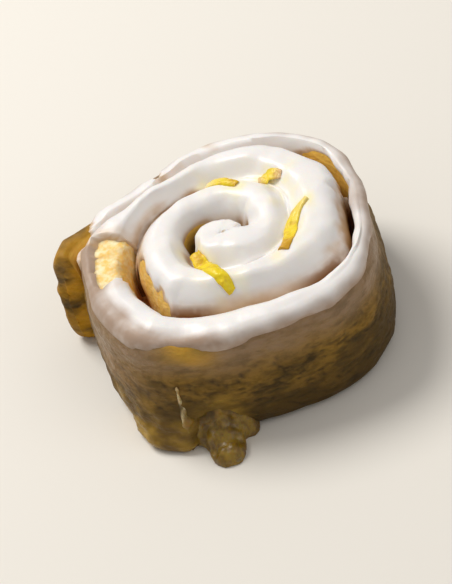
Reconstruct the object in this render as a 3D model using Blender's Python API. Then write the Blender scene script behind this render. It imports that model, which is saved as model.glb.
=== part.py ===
"""Iced lemon roll: a strip of dough rolled up into a coil, a coat of icing and strips of lemon zest.

The dough is one solid: the strip winds outwards from the middle, its turns part at a groove on top and
are baked together below, and its loose tail ends at the back left. The icing is a shell that lies over the
top and just over the rim. The zest strips lie on the icing. Run it with Blender, in the background or from
the text editor. X is to the right, Y to the back, Z up. The roll stands on Z = 0 about the coil's middle.
"""

import math

import bmesh
import bpy
from mathutils import Vector
from mathutils.bvhtree import BVHTree

MM = 0.001

# The coil seen from above
HALF_WIDTH = 49.0 * MM          # from the middle to the left and right sides, icing and all
HALF_DEPTH = 46.5 * MM          # from the middle to the front and back
WALL_INSET = 1.2 * MM           # the dough's wall is this far inside the iced outline
SQUARENESS = 2.6                # 2 is an ellipse; a roll baked in a full tin is squarer
FLAT_SIDE_ANGLE = 113.2         # degrees; the back left side is flat, along the loose tail
FLAT_SIDE_DISTANCE = 36.4 * MM  # from the middle to the crease in front of the tail
TAIL_THICKNESS = 10.4 * MM
TAIL_REACH = 59.5 * MM          # from the middle to the tail's outer corner
TAIL_START = 1080.0             # degrees; from here the outer turn runs out straight into the tail
TAIL_SWING = 0.0016             # how fast the wall leaves the rounded square there, for each degree
TAIL_END_ROUND = 4.0 * MM
TAIL_CREASE_ROUND = 1.0 * MM
TURN_SHARES = (0.16, 0.218, 0.225, 0.315, 0.465, 0.570, 0.620, 0.665, 0.862, 0.900, 1.0)
#                                 the groove's distance from the middle at each quarter turn,
#                                 as a share of the distance to the wall
GROOVE_START = -27.0            # degrees, counted up as the groove winds outwards
GROOVE_HOOK = 9.0               # degrees over which it leaves the middle
GROOVE_DENT = 0.09              # the second turn is flattened at the back left, by this share
GROOVE_DENT_ANGLE = 495.0
TAIL_END = 882.0                # degrees

# Heights
COIL_CROWN = 43.0 * MM          # the inner turns rise above the outer one
CORE_DROP = 2.2 * MM            # the strip's first half turn lies lower
CORE_DROP_END = (140.0, 330.0)  # degrees between which it rises to the coil's crown
MIDDLE_HEIGHT = COIL_CROWN - 0.6 * CORE_DROP
WRAP_CROWN = 38.8 * MM
WRAP_TILT = 0.9 * MM            # the outer turn is higher at the back right
WRAP_TILT_ANGLE = 55.0
WRAP_DROP = (840.0, 950.0)      # degrees between which the strip steps down to the outer turn
TAIL_DROP = 1.5 * MM            # the tail sinks by this much over its last quarter turn
GROOVE_DEPTH = 9.0 * MM
SHOULDER = 6.5 * MM             # how far a turn's edge rounds over towards its groove
FLANK = 3.0 * MM                # the coil's left and front flank rounds over this much further
WRAP_EDGE = 2.0 * MM            # the outer turn's edge that faces the flank is tighter by this much
RIM_ROUND = 5.5 * MM            # the same towards the wall
FOOT_ROUND = 4.0 * MM
WALL_BULGE = 1.6 * MM
FLARE = 9.5 * MM                # how far the foot spreads at the front left corner
FLARE_TOP = 27.0 * MM
FLARE_ANGLES = (207.0, 228.0, 236.0, 244.0)     # degrees; it starts, is full, drops off and ends
CROWN_ARCH = 1.3 * MM
CLOSED_GAP = 0.8 * MM           # the turns' spacing at the foot of a closed groove
CLOSED_SLOT = 0.8 * MM
OPEN_SLOT = 13.0 * MM
# Where the turns stand apart: the middle of the gap and half its length in degrees, and its width
GAPS = (
    (105.0, 110.0, 2.8 * MM),
    (560.0, 38.0, 3.6 * MM),
    (716.0, 34.0, 3.6 * MM),
    (756.0, 34.0, 2.2 * MM),
)
OPEN_GAP_WIDTH = 2.2 * MM       # the icing parts over a gap at least this wide

# The icing
ICING_SPACE = 0.45 * MM         # clearance under it
ICING_CROWN = 1.9 * MM          # thickness over the crowns
ICING_SHOULDER = 1.4 * MM
ICING_LIP = 0.7 * MM            # thickness at its edges
ICING_REACH = 2.6 * MM          # how far it runs down from the crown
FILL_SHARES = (0.20, 0.00, 0.15, 0.55, 0.75, 0.50, 0.00, 0.15, 0.30, 0.35, 0.50)
#                                 how full of icing the groove is, at each quarter turn
BARE_ROWS = (-2, 3)             # rows about the tail's crease where the outer turn is bare inside its rim
TAIL_BARE_ROWS = 1              # rows at the tail's cut end without icing

STEPS_PER_TURN = 40
STEP = 360.0 / STEPS_PER_TURN
ROWS = round((TAIL_END + 360.0 - GROOVE_START) / STEP)
SHOULDER_SHARES = (0.15, 0.5, 1.0)
SHARP_ANGLE = math.radians(50.0)


def outline_radius(deg):
    """Distance from the middle to the coil's wall, without the tail: a rounded square."""
    angle = math.radians(deg)
    across = abs(math.cos(angle)) / HALF_WIDTH
    along = abs(math.sin(angle)) / HALF_DEPTH
    return (across**SQUARENESS + along**SQUARENESS) ** (-1.0 / SQUARENESS)


def flat_side_radius(deg, distance):
    """Distance to a straight line across the back left side."""
    cosine = math.cos(math.radians(deg - FLAT_SIDE_ANGLE))
    return distance / cosine if cosine > 0.3 else 1.0


def soft_min(a, b, blend=3.0 * MM):
    share = max(blend - abs(a - b), 0.0) / blend
    return min(a, b) - share * share * blend / 4.0


def at_quarter_turns(values, deg):
    """A smooth curve through one value for each quarter turn."""
    last = len(values) - 1
    turn = max(0.0, deg / 90.0)
    k = min(int(turn), last - 1)
    t = min(turn - k, 1.0)
    a, b, c, d = (values[min(max(k + n, 0), last)] for n in (-1, 0, 1, 2))
    return 0.5 * (2 * b + (c - a) * t + (2 * a - 5 * b + 4 * c - d) * t**2 + (3 * b - a - 3 * c + d) * t**3)


def groove_radius(deg):
    """Distance from the middle to the groove between the turns."""
    if deg <= GROOVE_START:
        return 0.0
    radius = outline_radius(deg) * at_quarter_turns(TURN_SHARES, deg)
    radius *= math.tanh((deg - GROOVE_START) / GROOVE_HOOK)
    radius *= 1.0 - GROOVE_DENT * hump(deg, GROOVE_DENT_ANGLE, 50.0)
    if deg > 720.0:
        radius = soft_min(radius, flat_side_radius(deg, FLAT_SIDE_DISTANCE))
    return radius


def wall_radius(deg):
    """Distance to the wall, from the tail's crease once round to the end of the tail."""
    radius = outline_radius(deg)
    outer_line = flat_side_radius(deg, FLAT_SIDE_DISTANCE + TAIL_THICKNESS)
    radius -= WALL_INSET
    radius *= 1.0 + TAIL_SWING * max(0.0, deg - TAIL_START)
    return min(soft_min(radius, outer_line), TAIL_REACH)


def plan(radius, deg):
    angle = math.radians(deg)
    return Vector((radius * math.cos(angle), radius * math.sin(angle), 0.0))


def hump(deg, middle, half_length):
    """1 in the middle, falling smoothly to 0 at the half length."""
    share = min(abs(deg - middle) / half_length, 1.0)
    return 0.5 + 0.5 * math.cos(math.pi * share)


def smooth_step(value, start, end):
    share = min(max((value - start) / (end - start), 0.0), 1.0)
    return share * share * (3.0 - 2.0 * share)


def gap_width(deg):
    return CLOSED_GAP + max(width * hump(deg, middle, half) for middle, half, width in GAPS)


def slot_depth(deg):
    """How far the open gap goes down below the foot of the groove."""
    share = min(1.0, (gap_width(deg) - CLOSED_GAP) / OPEN_GAP_WIDTH)
    return CLOSED_SLOT + OPEN_SLOT * share


def crown_height(deg):
    """Height of the strip's crown where its outer edge is at deg."""
    drop = smooth_step(deg, *WRAP_DROP)
    tilt = WRAP_TILT * math.cos(math.radians(deg - WRAP_TILT_ANGLE))
    tail = TAIL_DROP * min(max((deg - TAIL_END - 270.0) / 90.0, 0.0), 1.0)
    core = CORE_DROP * (1.0 - smooth_step(deg, *CORE_DROP_END))
    return COIL_CROWN - core + (WRAP_CROWN + tilt - tail - COIL_CROWN) * drop


def groove_foot(deg):
    """Height of the foot of the rounded edges on both sides of the groove, which starts out shallow."""
    ramp = min(max((deg - GROOVE_START - 12.0) / 40.0, 0.0), 1.0)
    lower, upper = sorted((crown_height(deg), crown_height(deg + 360.0)))
    return upper + (lower - GROOVE_DEPTH - upper) * ramp


def rounding(share):
    """Drop of a quarter round, 1 at its foot and 0 at its crown."""
    return 1.0 - math.sqrt(max(0.0, 1.0 - (1.0 - min(share, 1.0)) ** 2))


def shoulder_reach(deg, outer):
    """How far the strip's outer or inner edge rounds over. Where the coil's flank is wide, the edge that
    faces it from the outer turn is tight."""
    groove_deg = deg if outer else deg - 360.0
    flank = smooth_step(groove_deg, 450.0, 540.0) * (1.0 - smooth_step(groove_deg, 690.0, 750.0))
    return SHOULDER + flank * (FLANK if outer else -WRAP_EDGE)


def wall_normal(deg):
    ahead = plan(wall_radius(deg + 1.0), deg + 1.0) - plan(wall_radius(deg - 1.0), deg - 1.0)
    return Vector((ahead.y, -ahead.x, 0.0)).normalized()


def rim_round(deg):
    """The outer turn is thin at the right, so its rim has a smaller round there."""
    thickness = wall_radius(deg) - groove_radius(deg - 360.0)
    return min(RIM_ROUND, 0.45 * thickness)


class Row:
    """One cut across the strip, from its inner to its outer edge, at one angle."""

    def __init__(self, index):
        self.deg = GROOVE_START + STEP * index
        self.inner_deg = self.deg - 360.0
        self.has_groove = self.inner_deg > GROOVE_START
        self.at_wall = self.deg > TAIL_END + STEP / 2
        self.inner = plan(groove_radius(self.inner_deg), self.deg)
        if self.at_wall:
            self.outer = plan(wall_radius(self.deg), self.deg)
            self.outer -= rim_round(self.deg) * wall_normal(self.deg)
        else:
            self.outer = plan(groove_radius(self.deg), self.deg)
        self.width = max((self.outer - self.inner).length, 1e-6)
        self.crown = crown_height(self.deg)
        steep_twist = index <= 5 or 0 <= index - STEPS_PER_TURN <= 5
        steep_twist = steep_twist or 0 <= index - ROWS + STEPS_PER_TURN <= 1
        self.icing_lift = 1.0 * MM if steep_twist else 0.0

    def half_gap(self, outer):
        deg = self.deg if outer else self.inner_deg
        if outer and self.at_wall:
            return 0.0
        return min(gap_width(deg) / 2.0, 0.15 * self.width)

    def shoulder(self, outer):
        return 0.9 * min(shoulder_reach(self.deg, outer), self.width / 2.0 - self.half_gap(outer))

    def foot(self, outer):
        if outer:
            return self.crown if self.at_wall else groove_foot(self.deg)
        return groove_foot(self.inner_deg) if self.has_groove else MIDDLE_HEIGHT

    def place(self, outer, distance, height):
        """The point at a distance from one edge of the strip, at a height."""
        share = distance / self.width
        ground = self.outer.lerp(self.inner, share) if outer else self.inner.lerp(self.outer, share)
        return Vector((ground.x, ground.y, height))

    def edge_profile(self, outer):
        """(distance from the edge, height, outward tilt) at each shoulder share."""
        foot, round_over, start = self.foot(outer), self.shoulder(outer), self.half_gap(outer)
        made = []
        for share in SHOULDER_SHARES:
            distance = start + share * round_over
            across = min(distance / self.width, 1.0)
            arch = CROWN_ARCH * 4.0 * across * (1.0 - across)
            if outer or self.has_groove:
                height = self.crown - (self.crown - foot) * rounding(share) + arch
                steep = (self.crown - foot) * (1.0 - share) / round_over
                steep /= math.sqrt(max(1.0 - (1.0 - share) ** 2, 1e-6))
            else:
                height = self.crown - (self.crown - foot) * hump(share, 0.0, 1.0) + arch
                steep = 0.0
            made.append((distance, height, math.atan(steep)))
        return made


def grid_cells(columns, keep=lambda row, column: True):
    """Faces between the rows, as keys (row, column), for a strip with that many cells across.

    Neighbouring turns share the points along their groove, and the first rows start at one point."""

    def key(row, column):
        if row == 0 or (column == 0 and row < STEPS_PER_TURN):
            return (0, 0)
        if row == 1 and column < columns:
            return (0, 0) if column <= columns // 2 else (1, columns)
        if column == 0:
            return key(row - STEPS_PER_TURN, columns)
        return (row, column)

    cells = []
    for row in range(ROWS):
        for column in range(columns):
            if not keep(row, column):
                continue
            around = ((row, column), (row, column + 1), (row + 1, column + 1), (row + 1, column))
            corners = [key(*corner) for corner in around]
            face = [c for n, c in enumerate(corners) if c != corners[n - 1]]
            if len(set(face)) >= 3:
                cells.append(tuple(face))
    return cells, key


def mesh_object(name, points, faces, material):
    """points is a dict of key to Vector, and faces hold keys."""
    order = sorted({key for face in faces for key in face}, key=str)
    index = {key: n for n, key in enumerate(order)}
    mesh = bpy.data.meshes.new(name)
    mesh.from_pydata([points[key] for key in order], [], [[index[key] for key in face] for face in faces])
    mesh.validate()
    mesh.shade_smooth()
    mesh.set_sharp_from_angle(angle=SHARP_ANGLE)
    made = bpy.data.objects.new(name, mesh)
    made.data.materials.append(material)
    bpy.context.scene.collection.objects.link(made)
    return made


def food_material(name, colour, roughness):
    material = bpy.data.materials.new(name)
    material.use_nodes = True
    shader = material.node_tree.nodes["Principled BSDF"]
    shader.inputs["Base Color"].default_value = (*colour, 1.0)
    shader.inputs["Roughness"].default_value = roughness
    material.diffuse_color = (*colour, 1.0)
    return material


def dough_top():
    """The coil's top: each strip has a slot, a rounded edge, a crown and the same again outwards."""
    columns = 4 + 2 * len(SHOULDER_SHARES) + 2
    cells, key = grid_cells(columns)
    points = {(0, 0): Vector((0.0, 0.0, MIDDLE_HEIGHT))}
    for index in range(1, ROWS + 1):
        row = Row(index)
        for outer in (False, True):
            half_gap, foot = row.half_gap(outer), row.foot(outer)
            open_edge = (outer and not row.at_wall) or (not outer and row.has_groove)
            floor = foot - (slot_depth(row.deg if outer else row.inner_deg) if open_edge else 0.0)
            slot_side = [(0.0, floor), (half_gap, floor), (half_gap + 0.1 * MM, foot)]
            if outer and row.at_wall:
                rim = 0.12 * row.shoulder(True)
                slot_side = [(0.0, row.crown), (rim / 3.0, row.crown), (2.0 * rim / 3.0, row.crown)]
            profile = slot_side + [(d, h) for d, h, _ in row.edge_profile(outer)]
            for n, (distance, height) in enumerate(profile):
                column = columns - n if outer else n
                spot = key(index, column)
                if spot == (index, column):
                    points[spot] = row.place(outer, distance, height)
        middle = key(index, columns // 2)
        if middle == (index, columns // 2):
            points[middle] = row.place(False, row.width / 2.0, row.crown + CROWN_ARCH)
    return points, cells, key, columns


def wall_offset(deg, height, top):
    """How far the wall stands out from its plan: a low bulge, uneven round the roll, and the sugary foot
    that spreads at the front left corner."""
    share = min(max(height / top, 0.0), 1.0)
    waves = 0.3 * math.sin(math.radians(3.0 * deg + 40.0)) + 0.2 * math.sin(math.radians(5.0 * deg))
    bulge = WALL_BULGE * 4.0 * share * (1.0 - share) * (1.0 + 0.8 * waves)
    start, full, drop, end = FLARE_ANGLES
    flare = smooth_step(deg % 360.0, start, full) * (1.0 - smooth_step(deg % 360.0, drop, end))
    return bulge + FLARE * flare * (1.0 - min(height / FLARE_TOP, 1.0)) ** 2


def tail_heading():
    """The direction that the cut end of the tail faces."""
    deg = GROOVE_START + STEP * ROWS
    onwards = Vector((-math.sin(math.radians(deg)), math.cos(math.radians(deg)), 0.0))
    return (onwards + 0.35 * wall_normal(deg)).normalized()


def rim_heading(index):
    """The direction in which the rim of the outer turn rounds over, turned at the tail's corner."""
    out = wall_normal(GROOVE_START + STEP * index)
    return (out + tail_heading()).normalized() if index == ROWS else out


def wall_columns(key, columns):
    """For each point round the top's edge: its key, its angle, its outward direction, its rim's round."""
    found = []
    for index in range(ROWS - STEPS_PER_TURN + 1, ROWS + 1):
        deg = GROOVE_START + STEP * index
        found.append((key(index, columns), deg, rim_heading(index), rim_round(deg)))
    for column in range(columns - 1, 0, -1):
        found.append((key(ROWS, column), TAIL_END, tail_heading(), TAIL_END_ROUND))
    corner = (tail_heading() + wall_normal(TAIL_END + STEP)).normalized()
    found.append((key(ROWS, 0), TAIL_END, corner, TAIL_CREASE_ROUND))
    return found


def wall_profile(top, rim):
    """(share of the rim's round gone outwards, height) from the top edge to the floor."""
    made = []
    for turn in (30.0, 60.0, 90.0):
        angle = math.radians(turn)
        made.append((math.sin(angle), top - rim * (1.0 - math.cos(angle))))
    straight_top = top - rim
    for share in (0.33, 0.67, 1.0):
        made.append((1.0, straight_top + (FOOT_ROUND - straight_top) * share))
    return made


def make_dough(material):
    points, cells, key, columns = dough_top()
    faces = [tuple(face) for face in cells]
    loop = wall_columns(key, columns)
    rings = [[spot for spot, _, _, _ in loop]]
    levels = len(wall_profile(1.0, 0.1)) + 2
    for level in range(levels):
        ring = []
        for spot, deg, out, rim in loop:
            top = points[spot]
            profile = wall_profile(top.z, rim)
            if level < len(profile):
                share, height = profile[level]
                away = rim * share + (wall_offset(deg, height, top.z) if share == 1.0 else 0.0)
            else:
                turn = math.radians(45.0 if level == len(profile) else 90.0)
                height = FOOT_ROUND * (1.0 - math.sin(turn))
                away = rim - FOOT_ROUND * (1.0 - math.cos(turn))
                away += wall_offset(deg, height, top.z)
            name = ("wall", level, spot)
            points[name] = Vector((top.x, top.y, 0.0)) + out * away + Vector((0.0, 0.0, height))
            ring.append(name)
        rings.append(ring)
    for upper, lower in zip(rings, rings[1:]):
        for n in range(len(upper)):
            after = (n + 1) % len(upper)
            faces.append((upper[n], lower[n], lower[after], upper[after]))
    faces.append(tuple(reversed(rings[-1])))
    return mesh_object("dough", points, faces, material)


# Runs of baked sugar down the front left corner. Each has the direction in degrees that it faces, its
# distance to the side, and its cuts: distance from the middle, half width and height, in millimetres.
SUGAR_RUNS = (
    (247.0, 0.5, ((42.0, 3.4, 17.0), (47.2, 3.2, 14.0), (49.0, 2.8, 9.0), (50.6, 2.2, 4.0))),
    (270.0, -17.8, ((40.0, 9.4, 15.5), (45.6, 9.0, 13.5), (47.4, 7.6, 9.5), (49.6, 6.4, 7.0),
                    (53.0, 5.9, 5.4), (56.6, 4.9, 4.0), (59.2, 2.6, 1.8))),
    (270.0, -9.5, ((40.0, 4.0, 10.0), (45.4, 3.6, 8.0), (47.8, 2.8, 4.0), (49.0, 1.6, 1.6))),
)
RUN_SIDES = 10
RUN_FLOOR = 0.1 * MM            # the runs stay just off the flat of the dough's base


def sugar_run(collection, heading, sideways, cuts):
    """A run of sugar: arched cuts across it, joined from the wall outwards, flat underneath."""
    ahead = plan(1.0, heading)
    side = Vector((-ahead.y, ahead.x, 0.0))
    shape = bmesh.new()
    rings = []
    for distance, half_width, height in cuts:
        middle = ahead * distance * MM + side * sideways * MM
        ring = []
        for n in range(RUN_SIDES + 1):
            turn = math.pi * n / RUN_SIDES
            spot = middle + side * half_width * MM * math.cos(turn)
            spot.z = RUN_FLOOR + height * MM * math.sin(turn)
            ring.append(shape.verts.new(spot))
        rings.append(ring)
    for inner, outer in zip(rings, rings[1:]):
        for n in range(RUN_SIDES + 1):
            m = (n + 1) % (RUN_SIDES + 1)
            shape.faces.new((inner[n], outer[n], outer[m], inner[m]))
    shape.faces.new(rings[0])
    shape.faces.new(reversed(rings[-1]))
    bmesh.ops.recalc_face_normals(shape, faces=shape.faces)
    mesh = bpy.data.meshes.new("sugar run")
    shape.to_mesh(mesh)
    shape.free()
    mesh.shade_smooth()
    collection.objects.link(bpy.data.objects.new("sugar run", mesh))


def add_sugar_runs(dough):
    """The runs are fused to the dough. One creeps out over the surface that the roll stands on."""
    runs = bpy.data.collections.new("sugar runs")
    bpy.context.scene.collection.children.link(runs)
    for heading, sideways, cuts in SUGAR_RUNS:
        sugar_run(runs, heading, sideways, cuts)
    union = dough.modifiers.new("sugar runs", "BOOLEAN")
    union.operation = "UNION"
    union.operand_type = "COLLECTION"
    union.collection = runs
    union.solver = "EXACT"
    with bpy.context.temp_override(object=dough, active_object=dough):
        bpy.ops.object.modifier_apply(modifier=union.name)
    for piece in list(runs.objects):
        bpy.data.objects.remove(piece)
    bpy.data.collections.remove(runs)
    dough.data.set_sharp_from_angle(angle=SHARP_ANGLE)


def is_open(deg):
    return GROOVE_START + STEP < deg < TAIL_END and gap_width(deg) >= OPEN_GAP_WIDTH


def icing_side(row, outer):
    """(upper point, lower point) of the icing at each shoulder share, beside one edge of the strip."""
    deg = row.deg if outer else row.inner_deg
    fill = at_quarter_turns(FILL_SHARES, deg)
    walled = (outer and row.at_wall) or (not outer and not row.has_groove)
    parted = not walled and is_open(deg)
    valley = (row.crown - row.foot(outer)) * (0.12 + 0.75 * (1.0 - fill))
    reach = row.half_gap(outer) + row.shoulder(outer)
    made = []
    thicknesses = (ICING_LIP, ICING_SHOULDER, ICING_CROWN)
    for (distance, height, tilt), thick in zip(row.edge_profile(outer), thicknesses):
        height += row.icing_lift
        aside, up = ICING_SPACE * math.sin(tilt), ICING_SPACE * math.cos(tilt)
        under = row.place(outer, distance - aside, height + up)
        if parted or walled:
            full = ICING_SPACE + (thick if parted else ICING_CROWN)
            over = row.place(outer, distance - full * math.sin(tilt), height + full * math.cos(tilt))
        else:
            dip = valley * (0.5 + 0.5 * math.cos(math.pi * min(distance / reach, 1.0)))
            top = row.crown + CROWN_ARCH * min(distance / reach, 1.0) + ICING_SPACE + ICING_CROWN - dip
            over = row.place(outer, distance - 0.3 * ICING_SPACE, max(top, under.z + ICING_LIP))
        made.append((over, under))
    return made


def icing_grid():
    """The icing's upper and lower points over the top of the coil, and the cells between them."""
    per_side = len(SHOULDER_SHARES)
    columns = 2 * per_side + 2
    crease_row = ROWS - STEPS_PER_TURN

    def keep(index, column):
        row_degs = (GROOVE_START + STEP * index, GROOVE_START + STEP * (index + 1))
        if column == 0 and all(is_open(deg - 360.0) for deg in row_degs):
            return False
        if column == columns - 1 and all(is_open(deg) for deg in row_degs):
            return False
        first, last = (crease_row + n for n in BARE_ROWS)
        if index >= ROWS - TAIL_BARE_ROWS or index == crease_row:
            return False
        if first <= index < last:
            return column >= columns - 2 or (index == last - 1 and column >= columns // 2)
        return True

    cells, key = grid_cells(columns, keep)
    under = {(0, 0): Vector((0.0, 0.0, MIDDLE_HEIGHT + ICING_SPACE))}
    over = {(0, 0): Vector((0.0, 0.0, MIDDLE_HEIGHT + ICING_SPACE + ICING_CROWN))}
    for index in range(1, ROWS + 1):
        row = Row(index)
        for outer in (False, True):
            side = icing_side(row, outer)
            for n, (high, low) in enumerate(side):
                column = columns - 1 - n if outer else n + 1
                if key(index, column) == (index, column):
                    over[(index, column)], under[(index, column)] = high, low
        middle = (index, columns // 2)
        if key(*middle) == middle:
            ground = row.place(False, row.width / 2.0, row.crown + CROWN_ARCH)
            under[middle] = ground + Vector((0.0, 0.0, ICING_SPACE))
            over[middle] = under[middle] + Vector((0.0, 0.0, ICING_CROWN))
        edge = (index, columns)
        if row.at_wall:
            low = row.place(True, 0.0, row.crown + ICING_SPACE)
            over[edge], under[edge] = low + Vector((0.0, 0.0, ICING_CROWN)), low
        else:
            fill = at_quarter_turns(FILL_SHARES, row.deg)
            foot = groove_foot(row.deg)
            crown = min(row.crown, crown_height(row.deg + 360.0))
            bridge = crown - (crown - foot) * rounding(SHOULDER_SHARES[0]) + row.icing_lift
            valley = (crown - foot) * (0.12 + 0.75 * (1.0 - fill))
            top = max(crown + ICING_SPACE + ICING_CROWN - valley, bridge + ICING_SPACE + ICING_LIP)
            under[edge] = row.place(True, 0.0, bridge + ICING_SPACE)
            over[edge] = row.place(True, 0.0, top)
    return over, under, cells, key, columns


def rim_turn(deg, rim):
    """How far round the rim the icing goes, as the angle that it has turned through at its lower edge."""
    waves = 0.9 * math.sin(math.radians(3.0 * deg + 20.0)) + 0.6 * math.sin(math.radians(7.0 * deg + 80.0))
    share = min((ICING_REACH + waves * MM) / rim, 0.96)
    return math.acos(1.0 - share)


def add_icing_rim(over, under, cells, key, columns):
    """Cells that carry the icing over the rim, thinning to its lower edge."""
    ring_above = None
    steps = 3
    for index in range(ROWS - STEPS_PER_TURN + 1, ROWS - TAIL_BARE_ROWS + 1):
        deg = GROOVE_START + STEP * index
        spot, out, rim = key(index, columns), rim_heading(index), rim_round(deg)
        ground = under[spot] - Vector((0.0, 0.0, ICING_SPACE))
        ring = [spot]
        for level in range(1, steps + 1):
            turned = rim_turn(deg, rim) * level / steps
            lean = out * math.sin(turned) + Vector((0.0, 0.0, math.cos(turned)))
            skin = ground - Vector((0.0, 0.0, rim)) + lean * rim
            thick = ICING_CROWN + (ICING_LIP - ICING_CROWN) * level / steps
            name = ("wall", level, index)
            under[name] = skin + lean * (ICING_SPACE + 0.15 * MM)
            over[name] = under[name] + lean * thick
            ring.append(name)
        if ring_above:
            for a, b, c, d in zip(ring_above, ring_above[1:], ring[1:], ring):
                cells.append((a, b, c, d))
        ring_above = ring


def shell_object(name, over, under, cells, material):
    """A closed shell: the cells above, the same cells below, and a lip round every free edge."""
    points, faces, edges = {}, [], set()
    for face in cells:
        faces.append(tuple(("over", key) for key in face))
        faces.append(tuple(("under", key) for key in reversed(face)))
        edges.update(zip(face, face[1:] + face[:1]))
        for key in face:
            points[("over", key)], points[("under", key)] = over[key], under[key]
    for a, b in sorted(edges, key=str):
        if (b, a) not in edges:
            faces.append((("over", b), ("over", a), ("under", a), ("under", b)))
    return mesh_object(name, points, faces, material)


def make_icing(material):
    over, under, cells, key, columns = icing_grid()
    add_icing_rim(over, under, cells, key, columns)
    return shell_object("icing", over, under, cells, material)


def make_zest(name, icing, path, width, thickness, material):
    """A strip of zest laid on the icing along a path of plan points, narrower at both ends."""
    dependencies = bpy.context.evaluated_depsgraph_get()
    surface = BVHTree.FromObject(icing, dependencies)
    steps, spread = 10, (-1.0, -0.5, 0.0, 0.5, 1.0)
    line = [Vector((x * MM, y * MM, 0.0)) for x, y in path]
    lengths = [0.0]
    for a, b in zip(line, line[1:]):
        lengths.append(lengths[-1] + (b - a).length)

    def along(share):
        target = share * lengths[-1]
        for n in range(1, len(line)):
            if target <= lengths[n] or n == len(line) - 1:
                local = (target - lengths[n - 1]) / (lengths[n] - lengths[n - 1])
                return line[n - 1].lerp(line[n], local)

    def lay(spot):
        """The highest of the icing about a spot, because its coarse facets have ridges."""
        heights = []
        for x, y in ((0.0, 0.0), (1.1, 0.0), (-1.1, 0.0), (0.0, 1.1), (0.0, -1.1)):
            above = Vector((spot.x + x * MM, spot.y + y * MM, 0.1))
            hit = surface.ray_cast(above, Vector((0.0, 0.0, -1.0)))[0]
            heights.append(hit.z if hit else 0.0)
        return max(heights)

    points, faces, rings = {}, [], []
    for n in range(steps + 1):
        share = n / steps
        ground = along(share)
        heading = (along(min(share + 0.03, 1.0)) - along(max(share - 0.03, 0.0))).normalized()
        side = Vector((-heading.y, heading.x, 0.0))
        half = 0.5 * width * (0.35 + 0.65 * math.sin(math.pi * min(max(share, 0.06), 0.94)) ** 0.5)
        ring = []
        levels = [lay(ground + side * half * s) for s in spread]
        base = [max(level, max(levels) - 0.6 * MM) for level in levels]
        for k, s in enumerate(spread):
            spot = ground + side * half * s
            corner = ("low", n, k)
            points[corner] = Vector((spot.x, spot.y, base[k] + 0.35 * MM))
            ring.append(corner)
        for k, s in reversed(list(enumerate(spread))):
            spot = ground + side * half * s * 0.85
            corner = ("high", n, k)
            crown = thickness * (1.0 - 0.45 * abs(s))
            points[corner] = Vector((spot.x, spot.y, base[k] + 0.35 * MM + crown))
            ring.append(corner)
        rings.append(ring)
    for before, after in zip(rings, rings[1:]):
        for n in range(len(before)):
            m = (n + 1) % len(before)
            faces.append((before[n], before[m], after[m], after[n]))
    faces.append(tuple(reversed(rings[0])))
    faces.append(tuple(rings[-1]))
    made = mesh_object("zest_" + name, points, faces, material)
    shape = bmesh.new()
    shape.from_mesh(made.data)
    bmesh.ops.triangulate(shape, faces=shape.faces)
    bmesh.ops.recalc_face_normals(shape, faces=shape.faces)
    shape.to_mesh(made.data)
    shape.free()
    return made


# Each strip of zest: name, path in millimetres, width and thickness
ZEST_STRIPS = (
    ("middle", ((-10.0, -4.0), (-8.5, -11.0), (-5.5, -19.5), (-1.8, -28.0)), 4.8 * MM, 1.5 * MM),
    ("right", ((18.0, -19.4), (19.6, -12.8), (21.8, -6.6), (25.0, -2.0), (29.2, 0.6)), 3.6 * MM, 1.3 * MM),
    ("back", ((0.6, 24.6), (4.0, 23.2), (6.8, 20.8), (9.0, 17.8)), 3.2 * MM, 1.2 * MM),
    ("back_right", ((17.0, 20.0), (20.5, 19.7), (24.0, 17.8)), 3.6 * MM, 1.2 * MM),
)


def main():
    for old in list(bpy.data.objects):
        bpy.data.objects.remove(old)
    crust = food_material("crust", (0.52, 0.31, 0.11), 0.62)
    white = food_material("icing", (0.93, 0.88, 0.84), 0.28)
    yellow = food_material("zest", (0.93, 0.68, 0.05), 0.45)
    dough = make_dough(crust)
    add_sugar_runs(dough)
    icing = make_icing(white)
    for name, path, width, thickness in ZEST_STRIPS:
        make_zest(name, icing, path, width, thickness, yellow)


main()
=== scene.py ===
"""Iced lemon roll: the looks.

Laid out as a Blender add-on and run as a script. The coil, its icing, the strips of zest and the baked sugar
are fine meshes that stand for the plain solids of the frame. Lengths are in metres unless a name says mm.
"""

import math

import bmesh
import bpy
import numpy as np
from bpy.props import FloatProperty, FloatVectorProperty, PointerProperty
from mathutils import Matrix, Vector, noise
from mathutils.bvhtree import BVHTree


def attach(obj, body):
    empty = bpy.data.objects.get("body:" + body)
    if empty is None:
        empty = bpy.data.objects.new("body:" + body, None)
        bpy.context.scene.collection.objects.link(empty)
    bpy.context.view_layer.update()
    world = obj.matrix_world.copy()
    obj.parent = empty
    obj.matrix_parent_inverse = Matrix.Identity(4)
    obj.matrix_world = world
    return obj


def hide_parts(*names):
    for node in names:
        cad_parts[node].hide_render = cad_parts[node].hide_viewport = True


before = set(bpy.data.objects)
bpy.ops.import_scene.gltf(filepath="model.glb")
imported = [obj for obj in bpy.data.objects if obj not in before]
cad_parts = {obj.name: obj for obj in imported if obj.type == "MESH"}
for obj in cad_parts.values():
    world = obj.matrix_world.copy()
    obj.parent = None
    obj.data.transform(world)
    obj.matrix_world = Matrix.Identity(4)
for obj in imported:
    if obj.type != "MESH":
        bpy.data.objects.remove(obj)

bl_info = {
    "name": "Iced lemon roll",
    "version": (1, 0, 0),
    "blender": (4, 5, 0),
    "location": "3D View > Sidebar > Lemon roll",
    "description": "Makes a coiled sweet bun with icing, strips of zest and baked sugar",
    "category": "Add Mesh",
}

MM = 0.001


def length(name, description, millimetres):
    return FloatProperty(name=name, description=description, default=millimetres * MM, min=0.0, unit="LENGTH")


def power(name, description, watts):
    return FloatProperty(name=name, description=description, default=watts, unit="POWER")


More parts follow.
